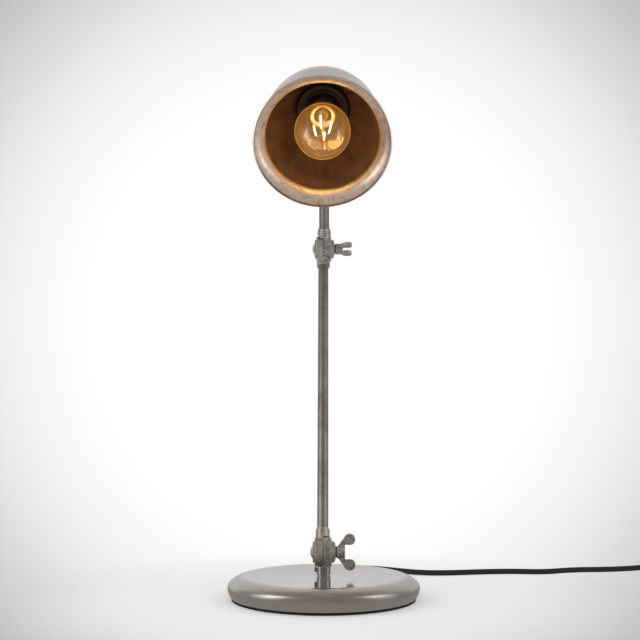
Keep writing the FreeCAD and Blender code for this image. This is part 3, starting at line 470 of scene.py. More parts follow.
@dataclass(frozen=True)
class ShadeMetal(Finish):
    """The shade's plate: rubbed silver outside, with a painted highlight along its outer lip.
    Inside it is painted: brown and copper stand for the bulb's amber light and for the shade
    deep in the shell. The bell of its mouth is a pinkish silver, painted copper towards its top
    and right side. The throat carries a painted glow that is gold at its foot, and the lip a
    painted copper reflection of the bulb that is strongest at the bottom.

    The mesh carries two measures: "inside", which goes from 0 on the outer face to 1 on
    the inner one, and "reach", the distance behind the rim over the shade's length. U
    goes once round from +X, so the shade's top is at 0.25 and its bottom at 0.75.
    """

    silver: Colour
    tarnish: Colour
    shaded_amber_brown: Colour
    amber_lit_copper: Colour
    bell: Colour
    throat_glow_gold: Colour
    gloss: float
    bell_share: float
    lip_share: float
    ring_scale: Point = (5, 330, 1)
    streak_scale: Point = (40, 5, 1)
    cloud_scale: float = 34
    blotch_scale: float = 150
    speck_scale: float = 900
    glint_gain: float = 3.0
    lip_highlight_gain: float = 1.3
    relief: float = 0.012

    def shader(self, graph: Graph) -> Signal:
        """Builds the shader.

        Args:
            graph: the material's node tree.

        Returns:
            The shader.
        """
        inside, reach = graph.measure("inside"), graph.measure("reach")
        turn, _, _ = graph.split(graph.place(Space.UV))
        rings = graph.noise(1, 3, 0.6, graph.place(Space.UV, self.ring_scale))
        streaks = graph.noise(1, 4, 0.6, graph.place(Space.UV, self.streak_scale))
        clouds = graph.noise(self.cloud_scale, 5, 0.62)
        blotches = graph.noise(self.blotch_scale, 4, 0.65)
        specks = graph.noise(self.speck_scale, 2)
        behind_bell = self.bell_share * 1.03
        on_bell = reach.smooth(self.bell_share, behind_bell, 1, 0)
        throat = reach.within(self.bell_share * 0.6, self.bell_share * 0.95, self.bell_share, behind_bell)
        lip = reach.smooth(self.lip_share * 0.6, self.lip_share, 1, 0)
        above = turn.within(0.08, 0.25, 0.25, 0.42)
        below = turn.within(0.50, 0.60, 0.90, 1.0)
        foot = turn.within(0.54, 0.70, 0.80, 0.96)
        right = turn.smooth(0.0, 0.15, 1, 0) + turn.smooth(0.88, 1.0)

        outer = graph.mix(clouds.smooth(0.38, 0.7) * 0.5 + specks * 0.12, self.silver, self.tarnish)
        # Painted highlight: the outer lip is made lighter everywhere but at the bottom.
        outer = graph.mix(lip * (1 - below), outer, toned(self.silver, self.lip_highlight_gain))
        # Painted amber light and shade: the deep shell's brown and copper stand for the bulb's light on the
        # silver plate.
        depths = graph.mix((streaks * 0.5 + clouds * 0.7).smooth(0.4, 0.8), self.amber_lit_copper, self.shaded_amber_brown)
        # Painted amber light: the bell's pinkish silver turns copper towards its top (above) and its right
        # side (right).
        bell = graph.mix(blotches.smooth(0.45, 0.75) * 0.6, self.bell, self.amber_lit_copper)
        bell = graph.mix(above * 0.4 + right * 0.55, bell, self.amber_lit_copper)
        inner = graph.mix(on_bell, depths, bell)
        # Painted reflection of the bulb's amber light on the lip, strongest at the bottom.
        inner = graph.mix(lip * (0.35 + below * 0.65), inner, self.amber_lit_copper)
        # Painted glow of the bulb's light round the throat: copper-orange, and gold at its foot.
        glint = graph.mix(foot, toned(self.amber_lit_copper, self.glint_gain), self.throat_glow_gold)
        inner = graph.mix(throat, inner, glint)

        metal = 1 - inside * (1 - throat) * (0.6 - on_bell * 0.12)
        rough = self.gloss + clouds * 0.12 + inside * (1 - on_bell) * 0.14 + rings * 0.06
        normal = graph.bump(rings * 0.6 + streaks * 0.5 + specks * 0.3, self.relief)
        return graph.surface(graph.mix(inside, outer, inner), rough, normal, metal)


@dataclass(frozen=True)
class TurnedMetal(Finish):
    """Bare machined metal with the fine marks of its tool and a little grime."""

    bright: Colour
    grime: Colour
    gloss: float
    mark_scale: float = 2600
    mark_depth: float = 0.01
    cloud_scale: float = 210
    edge_reach: float = 0.25

    def shader(self, graph: Graph) -> Signal:
        """Builds the shader.

        Args:
            graph: the material's node tree.

        Returns:
            The shader.
        """
        marks = graph.noise(self.mark_scale, 2, vector=graph.place(scale=(1, 0.2, 0.2)))
        clouds = graph.noise(self.cloud_scale, 4, 0.6)
        base = graph.mix(clouds.smooth(0.35, 0.75) * 0.7, self.bright, self.grime)
        base = graph.mix(graph.worn_edges(self.edge_reach) * 0.5, base, self.bright)
        rough = self.gloss + clouds * 0.2 + marks * 0.06
        return graph.surface(base, rough, graph.bump(marks, self.mark_depth), 1.0)


@dataclass(frozen=True)
class Moulding(Finish):
    """Moulded plastic or rubber: a fine grain, faint flow clouds, dust and rubbed edges."""

    colour: Colour
    dust: Colour
    gloss: float
    grain_scale: float = 1500
    grain_depth: float = 0.02
    coat: float = 0.0
    coat_rough: float = 0.12
    cloud_scale: float = 120
    edge_reach: float = 0.4

    def shader(self, graph: Graph) -> Signal:
        """Builds the shader.

        Args:
            graph: the material's node tree.

        Returns:
            The shader.
        """
        grain = graph.noise(self.grain_scale, 3, 0.6)
        clouds = graph.noise(self.cloud_scale, 4, 0.6)
        edges = graph.worn_edges(self.edge_reach)
        base = graph.mix(clouds.smooth(0.4, 0.8) * 0.35 + edges * 0.3, self.colour, self.dust)
        rough = self.gloss + clouds * 0.14 + grain * 0.06
        return graph.surface(base, rough, graph.bump(grain, self.grain_depth), more={
            "Coat Weight": self.coat, "Coat Roughness": self.coat_rough})


@dataclass(frozen=True)
class Felt(Finish):
    """Dense pressed felt: short fibres in every direction and flecks of lint."""

    colour: Colour
    lint: Colour
    gloss: float = 0.93
    nap: float = 0.15

    def shader(self, graph: Graph) -> Signal:
        """Builds the shader.

        Args:
            graph: the material's node tree.

        Returns:
            The shader.
        """
        fibres = graph.noise(1900, 5, 0.75)
        strands = graph.scratches(graph.place(scale=(1, 0.3, 1)), 700, 0.05)
        flecks = graph.noise(420, 2).smooth(0.66, 0.72)
        base = graph.mix(flecks * 0.35 + strands * 0.15, self.colour, self.lint)
        return graph.surface(base, self.gloss + fibres * 0.05, graph.bump(fibres + strands, self.nap),
                             more={"Sheen Weight": 0.05, "Sheen Roughness": 0.4})


@dataclass(frozen=True)
class LampGlass(Finish):
    """Blown glass with faint waves in its wall and a few seeds.

    The tint is the glass's own, clear is the share that lets light through, and edge is
    the light that gathers where the wall is seen from the side.
    """

    tint: Colour
    deep: Colour
    clear: float = 1.0
    edge: Colour = BLACK
    gloss: float = 0.012
    bend: float = 1.46
    wave_scale: float = 70
    wave_depth: float = 0.12
    seed_scale: float = 420

    def shader(self, graph: Graph) -> Signal:
        """Builds the shader.

        Args:
            graph: the material's node tree.

        Returns:
            The shader.
        """
        waves = graph.noise(self.wave_scale, 2)
        seeds = graph.noise(self.seed_scale, 1).smooth(0.7, 0.78)
        base = graph.mix(waves.smooth(0.3, 0.75), self.tint, self.deep)
        facing = graph.add("ShaderNodeLayerWeight", {}, {"Blend": 0.5}, "Facing")
        rim = graph.mix(facing.smooth(0.72, 0.9), BLACK, self.edge)
        return graph.surface(base, self.gloss + seeds * 0.05, graph.bump(waves, self.wave_depth), more={
            "IOR": self.bend, "Transmission Weight": self.clear, "Coat Weight": 0.25,
            "Coat Roughness": 0.01, "Emission Color": rim, "Emission Strength": 1.0})


@dataclass(frozen=True)
class Filament(Finish):
    """A coated filament stick that glows, whiter and more amber bead by bead."""

    hot: Colour
    warm: Colour
    power: float
    bead_scale: float = 1400
    bead_depth: float = 0.03

    def shader(self, graph: Graph) -> Signal:
        """Builds the shader.

        Args:
            graph: the material's node tree.

        Returns:
            The shader.
        """
        beads = graph.noise(self.bead_scale, 2)
        glow = graph.mix(beads.smooth(0.35, 0.7), self.hot, self.warm)
        return graph.surface((*self.warm, 1), 0.5, graph.bump(beads, self.bead_depth), more={
            "Emission Color": glow, "Emission Strength": self.power})


FINISHES: dict[Slot, Finish] = {
    Slot.POLISHED: SpunMetal("polished_silver_plate", (0.51, 0.482, 0.46), (0.42, 0.39, 0.36), 0.04),
    Slot.ANTIQUE: DrawnMetal("antique_silver_plate", (0.40, 0.375, 0.35), (0.20, 0.18, 0.16), 0.36),
    Slot.CAST: CastMetal("cast_silver_plate", (0.64, 0.597, 0.56), (0.20, 0.18, 0.16), 0.30, metal=0.65),
    # The shade's brown, copper, bell and gold colours are painted amber light, glow and shade from the
    # bulb.
    Slot.SHADE: ShadeMetal(
        "shade_plate", silver=(0.69, 0.65, 0.61), tarnish=(0.52, 0.48, 0.44), shaded_amber_brown=(0.10, 0.049, 0.028),
        amber_lit_copper=(0.22, 0.108, 0.058), bell=(0.71, 0.59, 0.50), throat_glow_gold=(1.0, 0.90, 0.52), gloss=0.2,
        bell_share=0.166, lip_share=0.02),
    Slot.STEEL: TurnedMetal("machined_steel", (0.52, 0.52, 0.52), (0.30, 0.29, 0.27), 0.28),
    Slot.DARK_WASHER: TurnedMetal("dark_spring_steel", (0.10, 0.095, 0.09), (0.04, 0.037, 0.034), 0.4),
    Slot.WEIGHT: CastMetal("cast_iron", (0.16, 0.155, 0.15), (0.06, 0.055, 0.05), 0.5,
                           skin_scale=420, skin_depth=0.2, wear=0.4),
    Slot.FELT: Felt("black_felt", (0.006, 0.006, 0.0065), (0.05, 0.05, 0.05)),
    Slot.MOULDING: Moulding("black_bakelite", (0.034, 0.025, 0.017), (0.07, 0.055, 0.042), 0.36,
                            grain_scale=1800, grain_depth=0.008, coat=0.1),
    Slot.PLASTIC: Moulding("grained_black_plastic", (0.016, 0.016, 0.017), (0.06, 0.06, 0.06), 0.38),
    Slot.ROCKER: Moulding("smooth_rocker_plastic", (0.02, 0.02, 0.021), (0.07, 0.07, 0.07), 0.26,
                          grain_scale=1800, grain_depth=0.01),
    Slot.RUBBER: Moulding("matte_black_rubber", (0.015, 0.015, 0.0155), (0.05, 0.05, 0.05), 0.6,
                          grain_scale=1100, grain_depth=0.03),
    Slot.BRASS: TurnedMetal("turned_brass", (0.72, 0.52, 0.24), (0.42, 0.28, 0.12), 0.22),
    Slot.LAMP_CAP: TurnedMetal("nickel_lamp_cap", (0.62, 0.60, 0.56), (0.36, 0.34, 0.30), 0.2),
    Slot.AMBER: LampGlass("amber_globe_glass", (1.0, 0.86, 0.58), (1.0, 0.72, 0.38), clear=0.962,
                          edge=(0.45, 0.19, 0.05)),
    Slot.CLEAR: LampGlass("lamp_mount_glass", (1.0, 0.95, 0.85), (1.0, 0.90, 0.74)),
    Slot.GLOW: Filament("filament_glow", (1.0, 0.78, 0.38), (1.0, 0.55, 0.16), 9.0),
}
STRAP = Moulding("woven_strap", (0.018, 0.018, 0.019), (0.09, 0.09, 0.09), 0.85,
                 grain_scale=2600, grain_depth=0.12)
WIRE = TurnedMetal("nickel_wire", (0.75, 0.66, 0.52), (0.45, 0.38, 0.28), 0.25)


# ---------------------------------------------------------------- frames and meshes


@dataclass(frozen=True)
class Home:
    """A turned frame in which a sub-assembly's shapes are worked out.

    Attributes:
        place: its origin in the lamp's frame.
        lean: its turn about X, in degrees.
    """

    place: Point
    lean: float

    def turn(self) -> Array:
        """The matrix that turns its own directions into the lamp's.

        Returns:
            1 along X, and the cosine and the sine of the lean in Y and Z.
        """
        angle = math.radians(self.lean)
        cos, sin = math.cos(angle), math.sin(angle)
        return np.array([[1, 0, 0], [0, cos, -sin], [0, sin, cos]])

    def outwards(self, points: Array) -> Array:
        """The lamp's coordinates of points that are given in this frame."""
        return points @ self.turn().T + np.array(self.place)

    def inwards(self, points: Array) -> Array:
        """This frame's coordinates of the lamp's points."""
        return (points - np.array(self.place)) @ self.turn()

    def reach(self, node: str) -> tuple[float, float, float]:
        """How far a CAD node goes in this frame.

        Args:
            node: the node's name.

        Returns:
            Its lowest and highest Z and its largest distance from the Z axis.
        """
        mesh = frame["nodes"][node].data
        points = np.empty(len(mesh.vertices) * 3)
        mesh.vertices.foreach_get("co", points)
        own = self.inwards(points.reshape(-1, 3) / MM)
        return own[:, 2].min(), own[:, 2].max(), np.hypot(own[:, 0], own[:, 1]).max()


def joint_place(name: str) -> Point:
    """The place of a joint in millimetres."""
    found = next(joint for joint in frame["joints"] if joint["name"] == name)
    return tuple(part / MM for part in found["pos_m"])


def link(name: str, data: bpy.types.ID) -> bpy.types.Object:
    """Puts an object in the scene.

    Args:
        name: its name.
        data: its mesh, curve, light or camera.

    Returns:
        The object.
    """
    thing = bpy.data.objects.new(name, data)
    bpy.context.scene.collection.objects.link(thing)
    return thing


def angles_round(steps: int) -> Array:
    """Even angles once round, in radians, from 0."""
    return 2 * np.pi * np.arange(steps) / steps


def line(start: Sequence[float], end: Sequence[float], steps: int = 1) -> Array:
    """Points from start up to, not including, end: start + (end - start) * t."""
    share = np.arange(steps)[:, None] / steps
    return np.array(start) + (np.array(end) - np.array(start)) * share


def arc(start: Sequence[float], end: Sequence[float], radius: float, steps: int) -> Array:
    """Points along the shorter arc from start up to, not including, end.

    The centre lies on the chord's perpendicular bisector; the angle about it runs
    evenly from start to end.

    Args:
        start: the first point.
        end: the point that the arc stops before.
        radius: the arc's radius, above 0 where it turns left and below 0 where right.
        steps: how many points there are.

    Returns:
        The points.
    """
    first, last = np.array(start, float), np.array(end, float)
    chord = last - first
    half = np.hypot(*chord) / 2
    rise = math.sqrt(max(radius * radius - half * half, 0)) * (1 if radius > 0 else -1)
    centre = (first + last) / 2 + np.array([-chord[1], chord[0]]) / (2 * half) * rise
    begin = math.atan2(*(first - centre)[::-1])
    swept = math.copysign(2 * math.asin(min(1, half / abs(radius))), radius)
    angles = begin + swept * np.arange(steps) / steps
    return centre + abs(radius) * np.stack([np.cos(angles), np.sin(angles)], axis=1)


def turned(radius: Array, height: Array, angle: Array) -> Array:
    """The points (r cos a, r sin a, z), on a last axis of their own."""
    parts = np.broadcast_arrays(radius * np.cos(angle), radius * np.sin(angle), height)
    return np.stack(parts, axis=-1)


def ring_faces(rings: int, sides: int, closed: bool = False) -> Array:
    """The faces between rings of points that follow each other.

    Args:
        rings: how many rings there are.
        sides: how many points each ring has.
        closed: whether the last ring joins the first.

    Returns:
        The four corners of each face.
    """
    ring, side = (part.ravel() for part in np.indices((rings if closed else rings - 1, sides)))
    above, beside = (ring + 1) % rings, (side + 1) % sides
    corners = ((ring, side), (ring, beside), (above, beside), (above, side))
    return np.stack([row * sides + column for row, column in corners], axis=1)


def write_mesh(name: str, points: Array, groups: Sequence[Array], uv: Array | None = None,
               marks: Mapping[str, Array] | None = None, sharp: float = 35) -> bpy.types.Object:
    """Makes an object of points and faces.

    Args:
        name: the piece's name.
        points: the vertices, in millimetres of the lamp's frame.
        groups: the faces' corners, in arrays that each have their own number of them.
        uv: a UV coordinate for each corner of each face.
        marks: named numbers, one for each vertex.
        sharp: the angle in degrees past which an edge is shaded sharp.

    Returns:
        The object, at the origin.
    """
    mesh = bpy.data.meshes.new(name)
    mesh.from_pydata((points * MM).tolist(), [], [face for group in groups for face in group.tolist()])
    if uv is not None:
        layer = mesh.uv_layers.new(name="UVMap")
        layer.data.foreach_set("uv", uv.astype(np.float32).ravel())
    for label, numbers in (marks or {}).items():
        attribute = mesh.attributes.new(label, "FLOAT", "POINT")
        attribute.data.foreach_set("value", numbers.astype(np.float32))
    mesh.polygons.foreach_set("use_smooth", np.ones(len(mesh.polygons), bool))
    mesh.set_sharp_from_angle(angle=math.radians(sharp))
    mesh.validate()
    return link(name, mesh)


@dataclass(frozen=True)
class Lathe:
    """A closed profile turned about the Z axis of its home.

    Attributes:
        profile: radius and height of each point, in an order that leaves the solid on
            the left; the last one joins the first.
        home: the frame that it is turned in.
        sides: how many steps there are round the axis.
    """

    profile: Array
    home: Home
    sides: int

    def build(self, name: str, marks: Mapping[str, Array] | None = None,
              sharp: float = 35) -> bpy.types.Object:
        """The turned piece, whose U goes round it and whose V goes along the profile.

        Args:
            name: its name.
            marks: named numbers, one for each point of the profile.
            sharp: the angle past which an edge is shaded sharp.

        Returns:
            The object.
        """
        radius, height = self.profile[:, 0, None], self.profile[:, 1, None]
        points = turned(radius, height, angles_round(self.sides)).reshape(-1, 3)
        faces = ring_faces(len(self.profile), self.sides, closed=True)
        row, side = faces[:, 0] // self.sides, faces[:, 0] % self.sides
        run = np.hypot(*np.diff(self.profile, axis=0, append=self.profile[:1]).T)
        along = np.concatenate([[0], np.cumsum(run)]) / run.sum()
        u = np.stack([side, side + 1, side + 1, side], axis=1) / self.sides
        v = np.stack([along[row], along[row], along[row + 1], along[row + 1]], axis=1)
        spread = {label: np.repeat(numbers, self.sides) for label, numbers in (marks or {}).items()}
        return write_mesh(name, self.home.outwards(points), [faces], np.stack([u, v], axis=-1),
                          spread, sharp)


def merge_poles(piece: bpy.types.Object) -> None:
    """Merges the points that lie in one place, as where a profile meets its axis.

    Args:
        piece: the piece, whose mesh is changed.
    """
    work = bmesh.new()
    work.from_mesh(piece.data)
    bmesh.ops.remove_doubles(work, verts=work.verts, dist=1e-7)
    work.to_mesh(piece.data)
    work.free()


def sweep(name: str, path: Array, radius: Array, home: Home, sides: int) -> bpy.types.Object:
    """A round rod along a path, closed at both ends.

    At each point of the path two directions square to it carry a circle of the radius
    there: path + radius * (u cos a + v sin a). They come from a guide direction that no
    path here is parallel to.

    Args:
        name: the piece's name.
        path: the points that it follows, in its home.
        radius: its radius at each of them.
        home: the frame that the path is in.
        sides: how many sides its section has.

    Returns:
        The object.
    """
    ahead = np.gradient(path, axis=0)
    ahead /= np.linalg.norm(ahead, axis=1)[:, None]
    guide = np.array([0.31, 0.93, 0.2])
    u = np.cross(ahead, guide)
    u /= np.linalg.norm(u, axis=1)[:, None]
    v = np.cross(ahead, u)
    angle = angles_round(sides)[:, None]
    circle = u[:, None] * np.cos(angle) + v[:, None] * np.sin(angle)
    rings = (path[:, None] + radius[:, None, None] * circle).reshape(-1, 3)
    points = np.concatenate([rings, path[:1], path[-1:]])
    side = np.arange(sides)
    beside, last = (side + 1) % sides, len(rings) - sides
    start = np.stack([beside, side, np.full(sides, len(rings))], axis=1)
    end = np.stack([last + side, last + beside, np.full(sides, len(rings) + 1)], axis=1)
    return write_mesh(name, home.outwards(points), [ring_faces(len(path), sides), start, end])


def join_pieces(name: str, parts: Sequence[bpy.types.Object]) -> bpy.types.Object:
    """Joins several meshes into one piece.

    Args:
        name: the piece's name.
        parts: the objects to join, which are removed with their meshes.

    Returns:
        The piece.
    """
    work = bmesh.new()
    for part in parts:
        work.from_mesh(part.data)
    joined = bpy.data.meshes.new(name)
    work.to_mesh(joined)
    work.free()
    for part in parts:
        bpy.data.meshes.remove(part.data)
    return link(name, joined)


def dress(piece: bpy.types.Object, slot: Slot, body: str, *nodes: str,
          finish: Finish | None = None) -> bpy.types.Object:
    """Gives a piece its finish, its slot and its body, and hides what it stands for.

    Args:
        piece: the piece.
        slot: its material slot.
        body: the CAD body that it rides on.
        nodes: the CAD nodes that it replaces.
        finish: its finish, where that isn't the slot's own.

    Returns:
        The piece.
    """
    piece.data.materials.clear()
    piece.data.materials.append((finish or FINISHES[slot]).make())
    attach(piece, body)
    if nodes:
        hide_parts(*nodes)
    log.info("%s rides on %s in %s", piece.name, body, slot.value)
    return piece


# ---------------------------------------------------------------- studio


@dataclass(frozen=True)
class Panel:
    """A soft light that stands upright and faces the lamp's axis.

    Attributes:
        name: its name.
        place: its middle, in millimetres.
        size: its width and height.
        power: its power in watts.
    """

    name: str
    place: Point
    size: tuple[float, float]
    power: float

    def build(self) -> None:
        """Puts the light in the scene."""
        lamp = bpy.data.lights.new("softbox_" + self.name, "AREA")
        lamp.shape = "RECTANGLE"
        lamp.size, lamp.size_y = (side * MM for side in self.size)
        lamp.energy = self.power
        holder = link(lamp.name, lamp)
        holder.location = Vector(self.place) * MM
        x, y, _ = self.place
        holder.rotation_euler = Vector((-x, -y, 0)).to_track_quat("-Z", "Y").to_euler()
        holder.visible_camera = False


@dataclass
class Studio:
    """The camera, a pale floor, the surroundings and the soft lights at both sides.

    On each side a narrow bright panel and a wide weak one stand together, a little in
    front of the lamp.

    Attributes:
        eye: the camera's place, in millimetres.
        tilt: its angle above the horizon, in degrees.
        pan: its turn to the left.
        focal: its lens, on a sensor of that width.
        floor_near: the distances, in metres, between which the floor gives way to the
            backdrop.
        veil: the backdrop's grey by the tangent of the angle from the view's axis.
        mirror: the light of the floor where metal reflects it.
        dim, bright: what metal reflects before the lamp and behind it.
        horizon: how far to the back a direction points where dim gives way to bright.
        fill: what lights the lamp's matte surfaces.
    """

    eye: Point = (6.4, -1170.7, 202.0)
    tilt: float = 4.4
    pan: float = 0.5
    focal: float = 61.875
    sensor: float = 36
    floor_radius: float = 2200
    floor_sides: int = 96
    floor_drop: float = 0.4
    floor_near: tuple[float, float] = (0.05, 0.38)
    floor_share: float = 0.85
    floor_lift: float = 0.08
    mirror: float = 0.36
    veil: tuple[tuple[float, float], ...] = (
        (0.0, 1), (0.208, 1), (0.248, 0.945), (0.288, 0.87), (0.32, 0.79), (0.34, 0.73),
        (0.412, 0.53), (0.448, 0.62), (0.592, 0.92))
    dim: Colour = (0.30, 0.277, 0.262)
    bright: Colour = (0.76, 0.76, 0.76)
    horizon: tuple[float, float] = (0.42, 0.62)
    fill: Colour = (0.62, 0.62, 0.62)
    panels: tuple[Panel, ...] = (
        Panel("left_core", (-430, -165, 450), (130, 380), 0.50),
        Panel("left_fill", (-430, -165, 350), (250, 580), 0.40),
        Panel("right_core", (430, -135, 450), (130, 380), 0.36),
        Panel("right_fill", (430, -135, 350), (250, 580), 0.20))

    def make_camera(self) -> None:
        """Stands the camera in front of the lamp, a little below the upper knuckle."""
        lens = bpy.data.cameras.new("camera")
        lens.lens = self.focal
        lens.sensor_width = self.sensor
        lens.clip_start = 20 * MM
        camera = link("camera", lens)
        camera.location = Vector(self.eye) * MM
        camera.rotation_euler = (math.radians(90 + self.tilt), 0, math.radians(self.pan))
        bpy.context.scene.camera = camera

    def make_floor(self) -> None:
        """A pale disc that lets the backdrop through except near the lamp."""
        angle = angles_round(self.floor_sides)
        floor = write_mesh("floor", turned(self.floor_radius, -self.floor_drop, angle),
                           [np.arange(len(angle))[None, :]])
        material = bpy.data.materials.new("pale_floor")
        material.use_nodes = True
        graph = Graph(material.node_tree)
        x, y, _ = graph.split(graph.place())
        near = x.hypot(y).smooth(*self.floor_near, self.floor_share, 0.0)
        pale = graph.mix(graph.noise(900, 2) * 0.2, (0.93, 0.93, 0.93), (0.9, 0.9, 0.9))
        solid = graph.add("ShaderNodeBsdfDiffuse", {}, {"Color": pale})
        lit = graph.add("ShaderNodeEmission", {}, {"Strength": self.floor_lift})
        solid = graph.add("ShaderNodeAddShader", {}, {0: solid, 1: lit})
        clear = graph.add("ShaderNodeBsdfTransparent")
        seen = graph.add("ShaderNodeMixShader", {}, {0: near, 1: clear, 2: solid})
        mirror = graph.add("ShaderNodeEmission", {}, {"Strength": self.mirror})
        shader = graph.add("ShaderNodeMixShader", {}, {0: graph.is_ray("Glossy"), 1: seen, 2: mirror})
        graph.add("ShaderNodeOutputMaterial", {}, {"Surface": shader})
        floor.data.materials.append(material)

    def make_world(self) -> None:
        """White in the view's middle, grey at its corners, and a plain room for the metal.

        The tangent of the angle from the view's axis is the root of 1 - c^2 over c, where
        c is how far a direction goes along that axis. Away from the view the backdrop
        keeps the veil's last grey.
        """
        world = bpy.data.worlds.new("studio")
        bpy.context.scene.world = world
        world.use_nodes = True
        graph = Graph(world.node_tree)
        x, y, z = graph.split(graph.add("ShaderNodeTexCoord", {}, {}, "Generated"))
        pan, tilt = math.radians(self.pan), math.radians(self.tilt)
        axis = (-math.sin(pan) * math.cos(tilt), math.cos(pan) * math.cos(tilt), math.sin(tilt))
        ahead = x * axis[0] + y * axis[1] + z * axis[2]
        slope = (1 - ahead * ahead).root() / ahead.at_least(0.05)
        stops = [(place, (grey, grey, grey)) for place, grey in self.veil]
        veil = graph.add("ShaderNodeValToRGB", {"stops": stops}, {0: slope})
        veil = graph.mix(ahead.smooth(0.05, 0.3), stops[-1][1], veil)
        room = graph.mix(y.smooth(*self.horizon), self.dim, self.bright)
        room = graph.mix(graph.is_ray("Diffuse"), room, self.fill)
        seen = graph.is_ray("Camera").at_least(graph.is_ray("Transmission"))
        light = graph.add("ShaderNodeBackground", {}, {"Color": graph.mix(seen, room, veil), "Strength": 1})
        graph.add("ShaderNodeOutputWorld", {}, {"Surface": light})

    def make_lights(self) -> None:
        """Puts up the panels."""
        for panel in self.panels:
            panel.build()


# ---------------------------------------------------------------- mains lead


@dataclass(frozen=True)
class CoilTie:
    """A flat strap round the coil's section.

    Its loop is a circle that is squared by taking the root of each part of (cos a, sin a).
    """

    bearing: float
    half_wide: float = 10.6
    half_tall: float = 6.35
    width: float = 7.0
    thick: float = 0.9
    lift: float = 0.05
    steps: int = 64

    def build(self, name: str, middle: tuple[float, float], radius: float,
              height: float) -> bpy.types.Object:
        """The strap.

        Args:
            name: its name.
            middle: the coil's middle.
            radius: the radius of the coil at the middle of its turns.
            height: the height of the middle of its turns.

        Returns:
            The object.
        """
        wave = turned(1, 0, angles_round(self.steps))[:, :2]
        loop = np.sign(wave) * np.sqrt(np.abs(wave))
        layer, edge = np.array([(0, 1), (0, -1), (1, -1), (1, 1)]).T
        half = np.array([self.half_wide, self.half_tall])
        out = loop[:, None] * (half + self.thick * layer[:, None])
        angle = math.radians(self.bearing)
        across = np.array([math.cos(angle), math.sin(angle), 0])
        along = np.array([-math.sin(angle), math.cos(angle), 0])
        centre = np.array([*middle, height + self.thick]) + across * radius
        points = (centre + out[..., :1] * across + out[..., 1:] * np.array([0, 0, 1])
                  + (self.width / 2 * edge)[:, None] * along).reshape(-1, 3)
        points[:, 2] = np.maximum(points[:, 2], self.lift)
        tie = write_mesh(name, points, [ring_faces(self.steps, len(edge), closed=True)])
        return dress(tie, Slot.RUBBER, "base", finish=STRAP)


@dataclass
class MainsLead:
    """The lead from the base to its coil and plug, as one smooth line.

    Its points are the corners of the route on the table, then the turns of the coil,
    three side by side below and three above, and then the way to the plug.

    Attributes:
        inward, outward: the turns at which the coil moves to the next radius.
        step_in, step_out: how much of a turn each such move takes.
        climb: the turn at which it climbs to the upper layer, and how much that takes.
    """

    radius: float = 3.2
    length: float = 1790.0
    route: tuple[Point, ...] = (
        (0, 131.8, 4.4), (0, 157, 3.2), (13, 179, 3.2), (36, 191.5, 3.2), (62, 189, 3.2),
        (88, 171, 3.2), (113, 155, 3.2), (143, 152.5, 3.2), (180, 161, 3.2), (222, 167.5, 3.2),
        (262, 161, 3.2), (299, 180, 3.2), (345, 182.5, 3.2), (384, 190, 4), (410, 196, 7))
    to_coil: tuple[Point, ...] = ((470.4, 209.9, 7), (489.6, 214.6, 4))
    to_plug: tuple[Point, ...] = ((553.4, 150, 9.6), (549.6, 136, 10.8), (545.4, 122.5, 12.6))
    coil_centre: tuple[float, float] = (512, 166)
    coil_radius: float = 36.0
    turns: float = 5.24
    turn_points: int = 24
    first_point: int = 2
    inward: tuple[float, ...] = (0.83, 1.83)
    outward: tuple[float, ...] = (3.42, 4.42)
    step_in: float = 0.17
    step_out: float = 0.18
    climb: tuple[float, float] = (2.60, 0.2)
    ties: tuple[CoilTie, ...] = (CoilTie(-150.0), CoilTie(25.0))

    def coil_points(self) -> Array:
        """The control points of the coil, clockwise from its north side.

        Each turn keeps a radius and moves to the next one over a short stretch. The
        lower layer goes inwards; its last turn climbs at the inner radius, and the upper
        layer goes outwards. A spline of order 3 runs inside its points, which the
        radius makes up for: on an even polygon it is (6 + 2 cos step) / 8 of it.

        Returns:
            The points, as x, y and z.
        """
        pitch = 2 * self.radius
        turn = np.arange(self.first_point, round(self.turns * self.turn_points)) / self.turn_points
        moved_in = sum(np.clip((turn - start) / self.step_in, 0, 1) for start in self.inward)
        moved_out = sum(np.clip((turn - start) / self.step_out, 0, 1) for start in self.outward)
        start, share = self.climb
        height = self.radius + pitch * np.clip((turn - start) / share, 0, 1)
        radius = self.coil_radius + pitch * (1 - moved_in + moved_out)
        radius /= (6 + 2 * math.cos(2 * math.pi / self.turn_points)) / 8
        points = turned(radius, height, math.pi / 2 - 2 * math.pi * turn)
        return points + np.array([*self.coil_centre, 0])

    def build(self) -> bpy.types.Object:
        """The whole lead, with the straps round its coil.

        It is a round spline of order 3 along its control points.

        Returns:
            The lead.
        """
        points = np.concatenate([self.route, self.to_coil, self.coil_points(), self.to_plug])
        curve = bpy.data.curves.new("mains_lead_line", "CURVE")
        curve.dimensions = "3D"
        spline = curve.splines.new("NURBS")
        spline.points.add(len(points) - 1)
        spline.points.foreach_set("co", np.column_stack([points * MM, np.ones(len(points))]).ravel())
        spline.order_u = 3
        spline.use_endpoint_u = True
        spline.resolution_u = 8
        curve.bevel_depth = self.radius * MM
        curve.bevel_resolution = 6
        curve.use_fill_caps = True
        lead = link("lead_on_table", curve)
        dress(lead, Slot.RUBBER, "base", "mains_lead", "lead_to_coil", "lead_coil", "lead_to_plug")
        ties = [tie.build("coil_tie_%d" % number, self.coil_centre, self.coil_radius, 2 * self.radius)
                for number, tie in enumerate(self.ties, 1)]
        return lead


# ---------------------------------------------------------------- knuckles


